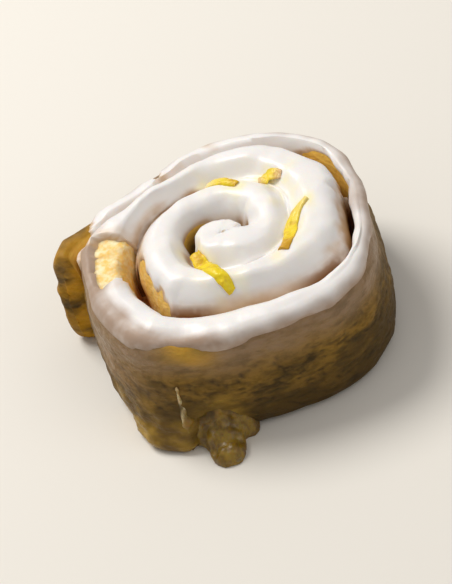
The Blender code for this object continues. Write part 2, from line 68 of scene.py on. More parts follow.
def colour(name, description, red, green, blue):
    return FloatVectorProperty(
        name=name, description=description, subtype="COLOR", size=3, min=0.0, max=1.0,
        default=(red, green, blue),
    )


class CoilSizes(bpy.types.PropertyGroup):
    half_width: length("Half width", "From the middle to the left and right sides, icing and all", 49.0)
    half_depth: length("Half depth", "From the middle to the front and back", 46.5)
    squareness: FloatProperty(name="Squareness", description="2 is an ellipse", default=2.6, min=2.0)
    wall_inset: length("Wall inset", "The dough's wall is this far inside the iced outline", 1.2)
    flat_side: length("Flat side", "From the middle to the crease in front of the tail", 36.4)
    tail_thickness: length("Tail thickness", "Thickness of the loose end", 10.4)
    tail_reach: length("Tail reach", "From the middle to the tail's outer corner", 59.5)
    coil_crown: length("Coil crown", "Height of the inner turns", 43.0)
    core_drop: length("Core drop", "The strip's first half turn lies lower by this much", 2.2)
    wrap_crown: length("Outer turn crown", "Height of the outer turn", 38.8)
    groove_depth: length("Groove depth", "From a turn's crown to the foot of its edge", 9.0)
    shoulder: length("Shoulder", "How far a turn's edge rounds over towards its groove", 6.5)
    rim_round: length("Rim round", "How far the outer turn's edge rounds over towards the wall", 5.5)
    foot_round: length("Foot round", "Round at the foot of the wall", 4.0)
    wall_bulge: length("Wall bulge", "How far the wall swells at half height", 1.6)
    flank: length("Flank", "The coil's left and front flank rounds over this much further", 3.0)
    wrap_edge: length("Outer turn's edge", "The edge that faces the flank is tighter by this much", 2.0)
    flare: length("Flare", "How far the foot spreads at the front left corner", 9.5)
    flare_top: length("Flare height", "Height up to which the foot spreads", 27.0)
    open_slot: length("Open gap depth", "How far an open gap goes down below the groove", 13.0)


class IcingSizes(bpy.types.PropertyGroup):
    crown: length("Thickness", "Thickness over the crowns", 2.3)
    wall: length("Wall thickness", "Thickness at the lower edge, over the rim", 0.7)
    reach: length("Reach", "How far the thick icing runs down from the crown", 2.1)
    colour: colour("Icing", "The icing's colour", 0.885, 0.858, 0.835)
    # Also the colour of the painted shade beside the grooves
    thin_and_shade_colour: colour("Thin icing", "Where the crust shows through the icing", 0.62, 0.43, 0.26)
    # Painted shade: the dark line at the foot of the grooves and on the icing inside the open gaps
    groove_shade: colour("Crease", "The crust at the foot of the grooves", 0.24, 0.092, 0.016)
    veil_colour: colour("Veil", "Where the icing thins out at the rim", 0.39, 0.275, 0.200)
    stain_colour: colour("Stain", "Where the zest's oil has tinted the icing", 0.92, 0.84, 0.52)


class CrustColours(bpy.types.PropertyGroup):
    golden: colour("Golden", "Well lit crust", 0.265, 0.142, 0.014)
    # The brown also darkens the wall's foot, and is the colour of the painted shade in the hollow beside the
    # run of sugar and in the creases
    brown: colour("Brown", "Darker bakes of the crust", 0.075, 0.040, 0.003)
    gold: colour("Cut end", "The tail's cut end where it is bare", 0.58, 0.28, 0.004)
    cream: colour("Crumb", "Soft crumb where the icing is missing", 0.98, 0.86, 0.54)
    orange: colour("Orange crumb", "Sugared crumb where the icing is missing", 0.96, 0.60, 0.15)
    crumb_dark: colour("Baked crumb", "Darker crumb where the icing is missing", 0.72, 0.45, 0.10)
    amber: colour("Sugared foot", "Baked sugar over the flared foot", 0.41, 0.245, 0.028)
    amber_dark: colour("Dark sugared foot", "Darker baked sugar over the flared foot", 0.13, 0.068, 0.006)
    film: colour("Glaze film", "Thin glaze dried on the wall", 0.30, 0.195, 0.115)
    groove: colour("Groove", "Crust that shows in the shallow gaps and on the flank", 0.93, 0.56, 0.10)
    # Painted shade: the shaded inside of the gaps, laid on as a red that shows reddish brown in the shade
    # there
    gap_shade: colour("Deep", "The dark inside of the gaps", 0.85, 0.23, 0.018)


class TrimColours(bpy.types.PropertyGroup):
    zest: colour("Zest", "The zest's colour", 0.87, 0.66, 0.004)
    zest_end: colour("Zest end", "The zest's orange patches", 0.64, 0.34, 0.008)
    zest_iced: colour("Iced zest", "Where icing lies over the zest", 0.86, 0.80, 0.72)
    sugar: colour("Sugar", "Baked sugar", 0.125, 0.066, 0.003)
    sugar_pale: colour("Pale sugar", "Thin baked sugar", 0.27, 0.165, 0.018)
    sugar_dark: colour("Dark sugar", "Specks in the baked sugar", 0.11, 0.055, 0.014)
    # Painted highlight: the pale line down the glossy strand of sugar
    strand_highlight: colour("Strand", "The pale strand of sugar at the corner", 0.66, 0.55, 0.30)


class StageSettings(bpy.types.PropertyGroup):
    floor: colour("Floor", "The floor's colour", 0.80, 0.765, 0.70)
    sky: FloatProperty(name="Sky", description="Strength of the even light all round", default=0.42)
    key: power("Key", "The main light, from the back left", 11.0)
    fill: power("Fill", "The soft light from the front right", 1.8)
    elevation: FloatProperty(name="Elevation", description="Camera height in degrees", default=42.0)
    roll: FloatProperty(name="Roll", description="Camera roll in degrees", default=17.0)
    distance: length("Distance", "From the camera to the roll", 800.0)
    view_height: length("View height", "Height of the picture at the roll", 190.0)


# The coil seen from above, in degrees counted up as the groove winds outwards, and shares of the radius
FLAT_SIDE_ANGLE = 113.2
TURN_SHARES = (0.16, 0.218, 0.225, 0.315, 0.465, 0.570, 0.620, 0.665, 0.862, 0.900, 1.0)
GROOVE_START = -27.0
GROOVE_HOOK = 9.0
TAIL_END = 882.0
TAIL_START = 1080.0
TAIL_SWING = 0.0016
GROOVE_DENT = 0.09
GROOVE_DENT_ANGLE = 495.0
WRAP_TILT = 0.9 * MM
WRAP_TILT_ANGLE = 55.0
WRAP_DROP = (840.0, 950.0)
CORE_DROP_END = (140.0, 330.0)
MIDDLE_SHARE = 0.6
TAIL_DROP = 1.5 * MM
TAIL_ROUND = 3.2 * MM
CROWN_ARCH = 1.3 * MM
CLOSED_GAP = 0.8 * MM
CLOSED_SLOT = 0.8 * MM
GAPS = (
    (105.0, 110.0, 2.8 * MM),
    (560.0, 38.0, 3.6 * MM),
    (716.0, 34.0, 3.6 * MM),
    (756.0, 34.0, 2.2 * MM),
)
OPEN_GAP_WIDTH = 2.2 * MM
ICING_BRIDGE = (729.5, 3.0)     # a drop of icing spans the right gap here, as middle and spread in degrees
CORE_CLOSED = (76.0, 20.0)      # icing nearly closes the gap behind the middle
CORE_NOTCH = (30.0, 14.0)       # a small hole beside the middle
CORE_END = (176.0, 200.0)       # icing closes the gap round the middle from here on
BACK_END = (744.0, 756.0)       # and the gap at the back right from here on
FILL_SHARES = (0.20, 0.00, 0.15, 0.55, 0.75, 0.50, 0.00, 0.15, 0.30, 0.35, 0.50)
FLARE_ANGLES = (207.0, 228.0, 236.0, 244.0)
FLANK_ANGLES = (450.0, 540.0, 690.0, 750.0)

# Places round the roll in degrees: 90 is the back, 180 the left and 270 the front. Two values are the middle
# and the spread. Four are where it starts, where it is full, where it drops and where it ends.
BARE_FLANK = (192.0, 32.0)      # golden crust on the coil's left flank
WORN_FLANK = (188.0, 28.0)      # where the icing on that flank is worn off
THIN_FLANK = (176.0, 20.0)      # and where it is thin
HALO = (172.0, 26.0)            # thin icing about the bare patch
FILM_CORNER = (200.0, 22.0)     # the film of glaze runs down to the foot
RIM_SPOT = (243.0, 9.0)         # golden crust below the rim
WORN_RIM = (241.0, 7.0)         # and the worn icing over it
HIGH_EDGE = (239.0, 8.0)        # the icing ends higher up
WORN_BACK = (110.0, 5.0)        # a small worn spot on the back rim
WORN_INSIDE = (30.0, 26.0)      # the outer turn's inner side has little icing
THIN_BACK = (85.0, 45.0)        # the outer turn's icing is thinner
HOLLOW_SHADE = (243.5, 5.0)       # painted shade in the hollow between the corner and the run of sugar
DARKER_SIDE = (325.0, 28.0)      # the wall is browner here
PATCH_ANGLES = (154.0, 162.0, 185.0, 195.0)
PATCH_RADII = (24.0 * MM, 27.0 * MM, 40.0 * MM, 44.5 * MM)
SUGARED_ANGLES = (196.0, 214.0, 250.0, 262.0)
VEIL_ANGLES = (140.0, 168.0, 228.0, 266.0)      # the see-through icing reaches further in

# Places along the groove in its own degrees, given in the same two ways
CORE_GAP = (105.0, 110.0)       # the gap beside the middle
LEFT_GAP = (560.0, 40.0)        # this gap gets less painted shade inside
LEFT_LIP = (574.0, 28.0)        # the outer turn is iced down to the gap
RIGHT_LIP = (710.0, 30.0)       # the coil is iced down to the gap
RIGHT_FLANK = (710.0, 34.0)     # and thinly so
BACK_GAP = (762.0, 24.0)        # golden crust shows in this gap
CORE_CREASE = (105.0, 85.0)     # painted shade on the icing along these grooves
BACK_LEFT_CREASE = (462.0, 6.0)
LEFT_CREASE = (492.0, 32.0)
RIGHT_CREASE = (775.0, 26.0)
FRONT_CREASE = (560.0, 575.0, 600.0, 620.0)
FRONT_RIGHT_CREASE = (654.0, 674.0, 680.0, 700.0)
TAIL_BARE = (TAIL_END + 330.0, TAIL_END + 346.0)      # from there on the tail's crust is golden
FLANK_END = 640.0               # the coil's own left flank comes before this

# The fine grid over the coil
COARSE_STEP = 1.5
FINE_STEP = 0.5
FINE_FROM = 876.0               # the tail's end has finer steps
SHOULDER_SHARES = (0.04, 0.11, 0.2, 0.31, 0.44, 0.6, 0.78, 1.0)
SLOT_SHARES = (0.0, 0.7, 0.82, 0.92, 1.0)       # of half the gap's width, at the floor and up the slot's side
SLOT_RISES = (0.0, 0.0, 0.34, 0.67, 1.0)
CROWN_SHARES = (0.25, 0.5, 0.75)
RIM_FOOT = 6.3 * MM             # the rim's round ends this far below the crown
RIM_STRIP = 3.0 * MM            # and the top's grid goes on below it by this much
WALL_LEVELS = 34
ICED_LEVELS = 27                # the icing is cut from the wall's levels down to this one


def outline_radius(sizes, deg):
    """Distance from the middle to the coil's side, without the tail: a rounded square."""
    angle = math.radians(deg)
    across = abs(math.cos(angle)) / sizes.half_width
    along = abs(math.sin(angle)) / sizes.half_depth
    return (across**sizes.squareness + along**sizes.squareness) ** (-1.0 / sizes.squareness)


def flat_side_radius(deg, distance):
    cosine = math.cos(math.radians(deg - FLAT_SIDE_ANGLE))
    return distance / cosine if cosine > 0.3 else 1.0


def soft_min(a, b, blend=3.0 * MM):
    share = max(blend - abs(a - b), 0.0) / blend
    return min(a, b) - share * share * blend / 4.0


def smooth_step(value, start, end):
    share = np.clip((value - start) / (end - start), 0.0, 1.0)
    return share * share * (3.0 - 2.0 * share)


def between(value, start, full, drop, end):
    """Rises from 0 at the start to 1 when full, and falls from the drop to 0 at the end."""
    return smooth_step(value, start, full) * (1.0 - smooth_step(value, drop, end))


def near(value, middle, spread):
    """1 at the middle, falling off smoothly."""
    return np.exp(-(((value - middle) / spread) ** 2))


def curve_through(path, turn):
    """A smooth curve through the path's points, which lie at the turns 0, 1, 2 and on."""
    last = len(path) - 1
    k = min(int(turn), last - 1)
    t = min(turn - k, 1.0)
    a, b, c, d = (np.asarray(path[min(max(k + n, 0), last)], dtype=float) for n in (-1, 0, 1, 2))
    return 0.5 * (2 * b + (c - a) * t + (2 * a - 5 * b + 4 * c - d) * t**2 + (3 * b - a - 3 * c + d) * t**3)


def at_quarter_turns(values, deg):
    """A smooth curve through one value for each quarter turn."""
    return float(curve_through(values, max(0.0, deg / 90.0)))


def point_along(path, share):
    """The point of the curve through the path at a share of its points."""
    return curve_through(path, share * (len(path) - 1))


def hump(deg, middle, half_length):
    share = min(abs(deg - middle) / half_length, 1.0)
    return 0.5 + 0.5 * math.cos(math.pi * share)


def groove_radius(sizes, deg):
    if deg <= GROOVE_START:
        return 0.0
    radius = outline_radius(sizes, deg) * at_quarter_turns(TURN_SHARES, deg)
    radius *= math.tanh((deg - GROOVE_START) / GROOVE_HOOK)
    radius *= 1.0 - GROOVE_DENT * hump(deg, GROOVE_DENT_ANGLE, 50.0)
    if deg > 720.0:
        radius = soft_min(radius, flat_side_radius(deg, sizes.flat_side))
    return radius


def wall_radius(sizes, deg):
    radius = outline_radius(sizes, deg)
    outer_line = flat_side_radius(deg, sizes.flat_side + sizes.tail_thickness)
    radius -= sizes.wall_inset
    radius *= 1.0 + TAIL_SWING * max(0.0, deg - TAIL_START)
    return min(soft_min(radius, outer_line), sizes.tail_reach)


def plan(radius, deg):
    angle = math.radians(deg)
    return Vector((radius * math.cos(angle), radius * math.sin(angle), 0.0))


def gap_width(deg):
    return CLOSED_GAP + max(width * hump(deg, middle, half) for middle, half, width in GAPS)


def gap_openness(deg):
    """0 where the icing closes the groove, 1 where the gap is open."""
    if deg <= GROOVE_START or deg > TAIL_END:
        return 0.0
    parted = float(smooth_step(gap_width(deg), OPEN_GAP_WIDTH - 1.1 * MM, OPEN_GAP_WIDTH + 0.3 * MM))
    parted = max(parted, float(near(deg, *CORE_NOTCH)))
    parted *= 1.0 - float(near(deg, *ICING_BRIDGE))
    parted *= 1.0 - 0.8 * float(near(deg, *CORE_CLOSED))
    if deg < 360.0:
        parted *= 1.0 - float(smooth_step(deg, *CORE_END))
    return parted * (1.0 - float(smooth_step(deg, *BACK_END)))


def slot_depth(sizes, deg):
    share = min(1.0, (gap_width(deg) - CLOSED_GAP) / OPEN_GAP_WIDTH)
    return CLOSED_SLOT + sizes.open_slot * share


def crown_height(sizes, deg):
    drop = float(smooth_step(deg, *WRAP_DROP))
    tilt = WRAP_TILT * math.cos(math.radians(deg - WRAP_TILT_ANGLE))
    tail = TAIL_DROP * min(max((deg - TAIL_END - 270.0) / 90.0, 0.0), 1.0)
    core = sizes.core_drop * (1.0 - float(smooth_step(deg, *CORE_DROP_END)))
    return sizes.coil_crown - core + (sizes.wrap_crown + tilt - tail - sizes.coil_crown) * drop


def groove_foot(sizes, deg):
    ramp = min(max((deg - GROOVE_START - 12.0) / 40.0, 0.0), 1.0)
    lower, upper = sorted((crown_height(sizes, deg), crown_height(sizes, deg + 360.0)))
    return upper + (lower - sizes.groove_depth - upper) * ramp


def shoulder_reach(sizes, side_deg, outwards):
    """How far the strip's outer or inner edge rounds over. The coil's left and front flank is wide."""
    flank = float(between(side_deg, *FLANK_ANGLES))
    return sizes.shoulder + flank * (sizes.flank if outwards else -sizes.wrap_edge)


def rounding(share):
    """Drop of a quarter round, 1 at its foot and 0 at its crown."""
    return 1.0 - math.sqrt(max(0.0, 1.0 - (1.0 - min(share, 1.0)) ** 2))


def wall_normal(sizes, deg):
    ahead = plan(wall_radius(sizes, deg + 1.0), deg + 1.0) - plan(wall_radius(sizes, deg - 1.0), deg - 1.0)
    return Vector((ahead.y, -ahead.x, 0.0)).normalized()


def tail_heading(sizes):
    """The direction that the cut end of the tail faces."""
    angle = math.radians(TAIL_END + 360.0)
    onwards = Vector((-math.sin(angle), math.cos(angle), 0.0))
    return (onwards + 0.35 * wall_normal(sizes, TAIL_END + 360.0)).normalized()


def field(points, size, seed):
    """Smooth noise of about -1 to 1 at each point. Size is the width of its lumps."""
    shift = Vector((seed * 13.7, seed * 7.3, seed * 3.1))
    return np.array([noise.noise(Vector(point) / size + shift) for point in points])


def warp(points):
    """Bends everything alike, so that no line of the roll is quite regular."""
    grounded = smooth_step(points[:, 2], 0.0, 9.0 * MM)
    moved = points.copy()
    for axis in range(3):
        bend = 0.9 * MM * field(points, 21.0 * MM, 3 + axis) + 0.4 * MM * field(points, 8.0 * MM, 11 + axis)
        moved[:, axis] += bend * (grounded if axis == 2 else 0.35 + 0.65 * grounded)
    return moved


def edge_point(side, n, outwards, crown):
    """The n-th point in from a side's edge: its distance from there, its height and its share of the round."""
    _, walled, half_gap, foot, reach, floor = side
    slots = len(SLOT_SHARES)
    if n < slots:
        distance = max(half_gap, 0.12 * MM) * SLOT_SHARES[n]
        if walled and not outwards:
            distance = 0.04 * reach * SLOT_SHARES[n]
        rise = SLOT_RISES[n] if not (walled and outwards) else n / (slots - 1)
        return distance, floor + (foot - floor) * rise, -0.25 * (1.0 - rise)
    share = SHOULDER_SHARES[n - slots]
    drop = hump(share, 0.0, 1.0) if walled and not outwards else rounding(share)
    return half_gap + share * reach, crown - (crown - foot) * drop, share


class Coil:
    """The dough's surface as a fine grid that follows the winding strip, with notes on each of its points."""

    def __init__(self, sizes):
        self.sizes = sizes
        coarse = np.arange(0.0, 360.0, COARSE_STEP)
        turn_end = TAIL_END - GROOVE_START - 720.0
        fine_from = FINE_FROM - GROOVE_START - 720.0
        coarse = coarse[(coarse < fine_from - 0.1) | (coarse > turn_end + 0.1)]
        fine = np.arange(fine_from, turn_end + 0.1, FINE_STEP)
        self.offsets = np.sort(np.concatenate([coarse, fine]))
        self.per_turn = len(self.offsets)
        whole_turns = int((TAIL_END + 360.0 - GROOVE_START) // 360.0)
        rest = TAIL_END + 360.0 - GROOVE_START - 360.0 * whole_turns
        self.rows = whole_turns * self.per_turn + int(np.argmin(abs(self.offsets - rest)))
        self.columns = 2 * (len(SLOT_SHARES) + len(SHOULDER_SHARES)) + len(CROWN_SHARES) - 1
        self.index = {}
        self.points, self.notes = [], []
        self.make_top()
        self.make_wall()
        self.points = np.array(self.points)
        for name in ("share", "side_deg", "open", "fill_top", "level", "deg", "across", "end", "valley"):
            setattr(self, name, np.array([note[name] for note in self.notes]))

    def angle(self, row):
        turns, place = divmod(row, self.per_turn)
        return GROOVE_START + 360.0 * turns + self.offsets[place]

    def key(self, row, column):
        if row == 0 or (column == 0 and row < self.per_turn):
            return (0, 0)
        if column == 0:
            return self.key(row - self.per_turn, self.columns)
        return (row, column)

    def add(self, key, point, **note):
        self.index[key] = len(self.points)
        self.points.append(tuple(point))
        self.notes.append(note)

    def make_top(self):
        sizes = self.sizes
        middle = sizes.coil_crown - MIDDLE_SHARE * sizes.core_drop
        self.add((0, 0), (0.0, 0.0, middle), share=1.0, side_deg=0.0, open=0.0, fill_top=middle, level=0.0,
                 deg=0.0, across=0.5, end=1.0, valley=0.0)
        first_wall = self.rows - self.per_turn + 1
        end_point = plan(wall_radius(sizes, self.angle(self.rows)), self.angle(self.rows))
        for row in range(1, self.rows + 1):
            deg = self.angle(row)
            at_wall = row >= first_wall
            inner = plan(groove_radius(sizes, deg - 360.0), deg)
            radius = wall_radius(sizes, deg) if at_wall else groove_radius(sizes, deg)
            to_end = 1.0
            if at_wall and deg > TAIL_END + 300.0:
                to_end = (plan(radius, deg) - end_point).length / TAIL_ROUND
                radius -= TAIL_ROUND * rounding(to_end) if to_end < 1.0 else 0.0
            outer = plan(radius, deg)
            self.add_row(row, deg, inner, outer, at_wall, min(to_end, 1.0))

    def row_sides(self, deg, width, crown, at_wall):
        """A row's inner and outer side: the groove's angle, whether it is a wall, half the gap's width, the
        foot's height, how far it rounds over, and the floor's height."""
        sizes = self.sizes
        sides = []
        for side_deg, walled in ((deg - 360.0, deg - 360.0 <= GROOVE_START), (deg, at_wall)):
            if walled and side_deg == deg:
                half_gap, foot, reach = 0.0, crown - RIM_FOOT, sizes.rim_round
                floor = foot - RIM_STRIP
            elif walled:
                foot = floor = sizes.coil_crown - MIDDLE_SHARE * sizes.core_drop
                half_gap, reach = 0.0, sizes.shoulder
            else:
                half_gap = min(gap_width(side_deg) / 2.0, 0.15 * width)
                foot, reach = groove_foot(sizes, side_deg), shoulder_reach(sizes, side_deg, side_deg == deg)
                floor = foot - slot_depth(sizes, side_deg)
            reach = 0.9 * min(reach, width / 2.0 - half_gap)
            sides.append((side_deg, walled, half_gap, foot, reach, floor))
        return sides

    def add_row(self, row, deg, inner, outer, at_wall, to_end):
        width = max((outer - inner).length, 1e-6)
        crown = crown_height(self.sizes, deg)
        sides = self.row_sides(deg, width, crown, at_wall)
        side_columns = len(SLOT_SHARES) + len(SHOULDER_SHARES)
        end_drop = TAIL_ROUND * rounding(to_end)
        for column in range(self.columns + 1):
            key = self.key(row, column)
            if key != (row, column):
                continue
            if column < side_columns:
                side = sides[0]
                distance, height, share = edge_point(side, column, False, crown)
                across = distance / width
            elif self.columns - column < side_columns:
                side = sides[1]
                distance, height, share = edge_point(side, self.columns - column, True, crown)
                across = 1.0 - distance / width
            else:
                low = (sides[0][2] + sides[0][4]) / width
                high = 1.0 - (sides[1][2] + sides[1][4]) / width
                across = low + (high - low) * CROWN_SHARES[column - side_columns]
                side = sides[0 if across < 0.5 else 1]
                height, share = crown, 1.0
                distance = min(across, 1.0 - across) * width
            side_deg, walled, half_gap, foot, reach, _ = side
            arch = CROWN_ARCH * 4.0 * across * (1.0 - across)
            height += arch * min(1.0, max(share, 0.0) * 2.0)
            spot = inner.lerp(outer, across)
            fall, valley = 0.0, 0.0
            if not walled:
                fill = at_quarter_turns(FILL_SHARES, side_deg)
                fall = (crown - foot) * (0.12 + 0.75 * (1.0 - fill))
                fall *= 0.5 + 0.5 * math.cos(math.pi * min(distance / (half_gap + reach), 1.0))
                valley = max(0.0, 1.0 - distance / (0.6 * (half_gap + reach)))
            self.add(key, (spot.x, spot.y, height - end_drop), share=share, side_deg=side_deg,
                     open=0.0 if walled else gap_openness(side_deg), fill_top=crown + arch - fall,
                     level=0.0, deg=deg, across=across, end=to_end, valley=valley)

    def make_wall(self):
        """Rings down the wall from the top's edge: the outer turn, the tail's end, and back to the crease."""
        sizes = self.sizes
        first_wall = self.rows - self.per_turn + 1
        crease = Vector(self.points[self.index[self.key(self.rows, 0)]]).xy
        loop = []
        for row in range(first_wall, self.rows + 1):
            deg = self.angle(row)
            out = wall_normal(sizes, deg)
            note = self.notes[self.index[(row, self.columns)]]
            turned = 1.0 - note["end"]
            out = (out * (1.0 - 0.5 * turned) + tail_heading(sizes) * turned).normalized()
            loop.append(((row, self.columns), deg, out, 1.0))
        for column in range(self.columns - 1, 0, -1):
            loop.append(((self.rows, column), self.angle(self.rows), tail_heading(sizes), 0.0))
        corner = (tail_heading(sizes) + wall_normal(sizes, self.angle(first_wall))).normalized()
        loop.append((self.key(self.rows, 0), self.angle(first_wall), corner, 0.0))
        self.loop = [spot for spot, _, _, _ in loop]
        for level in range(1, WALL_LEVELS + 1):
            for spot, deg, out, walled in loop:
                top = Vector(self.points[self.index[spot]])
                height = top.z * (1.0 - level / WALL_LEVELS)
                clear = min(1.0, (top.xy - crease).length / (9.0 * MM))
                away = self.bulge(deg, height, top.z) * clear
                away *= float(smooth_step(level, 0.0, 5.0))
                if height < sizes.foot_round:
                    lift = 1.0 - height / sizes.foot_round
                    away -= sizes.foot_round * (1.0 - math.sqrt(1.0 - lift * lift)) * clear
                spot_now = Vector((top.x, top.y, height)) + out * away
                self.add(("wall", level, spot), spot_now, share=-1.0, side_deg=deg, open=0.0, fill_top=0.0,
                         level=float(level), deg=deg, across=walled, end=walled, valley=0.0)

    def bulge(self, deg, height, top):
        share = min(max(height / top, 0.0), 1.0)
        waves = 0.3 * math.sin(math.radians(3.0 * deg + 40.0)) + 0.2 * math.sin(math.radians(5.0 * deg))
        flare = float(between(deg % 360.0, *FLARE_ANGLES))
        flare *= (1.0 - min(height / self.sizes.flare_top, 1.0)) ** 2
        bulge = self.sizes.wall_bulge * 4.0 * share * (1.0 - share) * (1.0 + 0.8 * waves)
        return bulge + self.sizes.flare * flare

    def top_faces(self):
        faces = []
        for row in range(self.rows):
            for column in range(self.columns):
                corners = (self.key(row, column), self.key(row, column + 1),
                           self.key(row + 1, column + 1), self.key(row + 1, column))
                face = [c for n, c in enumerate(corners) if c != corners[n - 1]]
                if len(set(face)) >= 3:
                    faces.append([self.index[c] for c in face])
        return faces

    def wall_faces(self, levels):
        faces = []
        rings = [[self.index[spot] for spot in self.loop]]
        for level in range(1, levels + 1):
            rings.append([self.index[("wall", level, spot)] for spot in self.loop])
        for upper, lower in zip(rings, rings[1:]):
            for n in range(len(upper)):
                after = (n + 1) % len(upper)
                faces.append([upper[n], lower[n], lower[after], upper[after]])
        return faces, rings[-1]


def mesh_piece(name, points, faces, sharp=60.0, **values):
    """An object with one mesh. Each extra value is a number for each point that its material reads."""
    used = sorted({corner for face in faces for corner in face})
    renumber = {old: new for new, old in enumerate(used)}
    mesh = bpy.data.meshes.new(name)
    mesh.from_pydata([tuple(points[n]) for n in used], [], [[renumber[c] for c in face] for face in faces])
    for value_name, numbers in values.items():
        layer = mesh.attributes.new(value_name, "FLOAT", "POINT")
        layer.data.foreach_set("value", np.asarray(numbers, dtype=np.float32)[used])
    mesh.validate()
    mesh.shade_smooth()
    mesh.set_sharp_from_angle(angle=math.radians(sharp))
    piece = bpy.data.objects.new(name, mesh)
    bpy.context.scene.collection.objects.link(piece)
    return piece


def point_normals(points, faces):
    """Smooth outward normals of a grid's points, from its faces."""
    normals = np.zeros_like(points)
    for size in (3, 4):
        chosen = np.array([face for face in faces if len(face) == size])
        if not len(chosen):
            continue
        corners = points[chosen]
        if size == 3:
            across = np.cross(corners[:, 1] - corners[:, 0], corners[:, 2] - corners[:, 0])
        else:
            across = np.cross(corners[:, 2] - corners[:, 0], corners[:, 3] - corners[:, 1])
        for n in range(size):
            np.add.at(normals, chosen[:, n], across)
    lengths = np.linalg.norm(normals, axis=1, keepdims=True)
    return normals / np.maximum(lengths, 1e-12)


def plan_polar(points):
    degrees = np.degrees(np.arctan2(points[:, 1], points[:, 0])) % 360.0
    return degrees, np.hypot(points[:, 0], points[:, 1])


def bare_patch(coil):
    """Where the outer turn has lost its icing beside the tail, with a ragged edge, and a wider halo of thinner
    icing: 1 inside, 0 outside."""
    degrees, radius = plan_polar(coil.points)
    ragged = 0.35 * field(coil.points, 4.5 * MM, 21) + 0.2 * field(coil.points, 1.8 * MM, 22)
    inside = np.minimum(between(degrees, *PATCH_ANGLES), between(radius, *PATCH_RADII))
    outer_turn = (coil.deg > 850.0) & (coil.deg < 1000.0) & (coil.level == 0.0)
    patch = np.where(outer_turn, np.clip((inside + ragged - 0.42) * 4.0, 0.0, 1.0), 0.0)
    patch *= 1.0 - iced_lip(coil) * (1.0 - smooth_step(coil.share, 0.2, 0.6))
    halo = near(degrees, *HALO) * (coil.deg < 1000.0) * smooth_step(radius, 22.0 * MM, 27.0 * MM)
    return patch, np.clip(halo * (1.0 + ragged) * 1.3 - 0.25, 0.0, 1.0)


def icing_low_edge(coil, sizes):
    """Height of the thick icing's lower edge on the wall, with shallow runs."""
    around = np.radians(coil.deg)
    waves = 0.5 * np.sin(3.0 * around + 0.4) + 0.5 * np.sin(7.0 * around + 1.5) + 0.3 * np.sin(17.0 * around)
    waves -= 2.2 * near(coil.deg % 360.0, *HIGH_EDGE)
    crown = np.array([crown_height(coil.sizes, deg) for deg in coil.deg])
    return crown - sizes.reach - waves * MM


def sugar_patch(coil):
    """Where baked sugar covers the flared foot."""
    degrees, _ = plan_polar(coil.points)
    ragged = 4.5 * MM * field(coil.points, 6.0 * MM, 71)
    low = 1.0 - smooth_step(coil.points[:, 2] + ragged, 8.0 * MM, 21.0 * MM)
    return between(degrees, *SUGARED_ANGLES) * low * (coil.level > 0.0)


def wrinkles(points):
    """Noise drawn out along the wall. The crust creases where it is near zero."""
    flattened = points * np.array([0.40, 0.40, 1.3])
    return field(flattened, 5.2 * MM, 31) + 0.45 * field(flattened, 2.3 * MM, 32)


def dough_relief(coil, patch):
    """Crags, wrinkles and crumbs, as how far each point stands out."""
    points = coil.points
    wall = smooth_step(coil.level, 0.5, 4.0)
    lumps = field(points, 7.0 * MM, 33)
    grounded = smooth_step(points[:, 2], 0.6 * MM, 3.0 * MM)
    creased = 0.9 * MM * np.minimum(np.abs(wrinkles(points)), 0.5) - 0.2 * MM
    crumbs = 0.55 * MM * field(points, 2.4 * MM, 34) + 0.5 * MM * field(points, 5.0 * MM, 35) - 0.3 * MM
    relief = wall * grounded * (creased + 0.35 * MM * lumps) + patch * crumbs
    relief += sugar_patch(coil) * grounded * (0.9 * MM * lumps + 0.5 * MM * field(points, 3.0 * MM, 72))
    inside_gap = (coil.share <= 0.15) & (coil.level == 0.0) & (coil.open > 0.05)
    relief += np.where(inside_gap, 0.18 * MM * field(points, 2.2 * MM, 36), 0.0)
    return relief


class Dress:
    """What the operators share: the coil, its normals and where its icing is."""

    made = None

    def __init__(self):
        scene = bpy.context.scene
        self.coil = Coil(scene.roll_coil)
        self.top = self.coil.top_faces()
        self.wall, self.foot_ring = self.coil.wall_faces(WALL_LEVELS)
        self.normals = point_normals(self.coil.points, self.top + self.wall)
        self.patch, self.halo = bare_patch(self.coil)
        self.low_edge = icing_low_edge(self.coil, scene.roll_icing)

    @classmethod
    def get(cls):
        if cls.made is None:
            cls.made = cls()
        return cls.made


def finish_piece(piece, slot, material, *nodes):
    piece.data.materials.append(material)
    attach(piece, "root")
    if nodes:
        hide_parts(*nodes)
    return piece


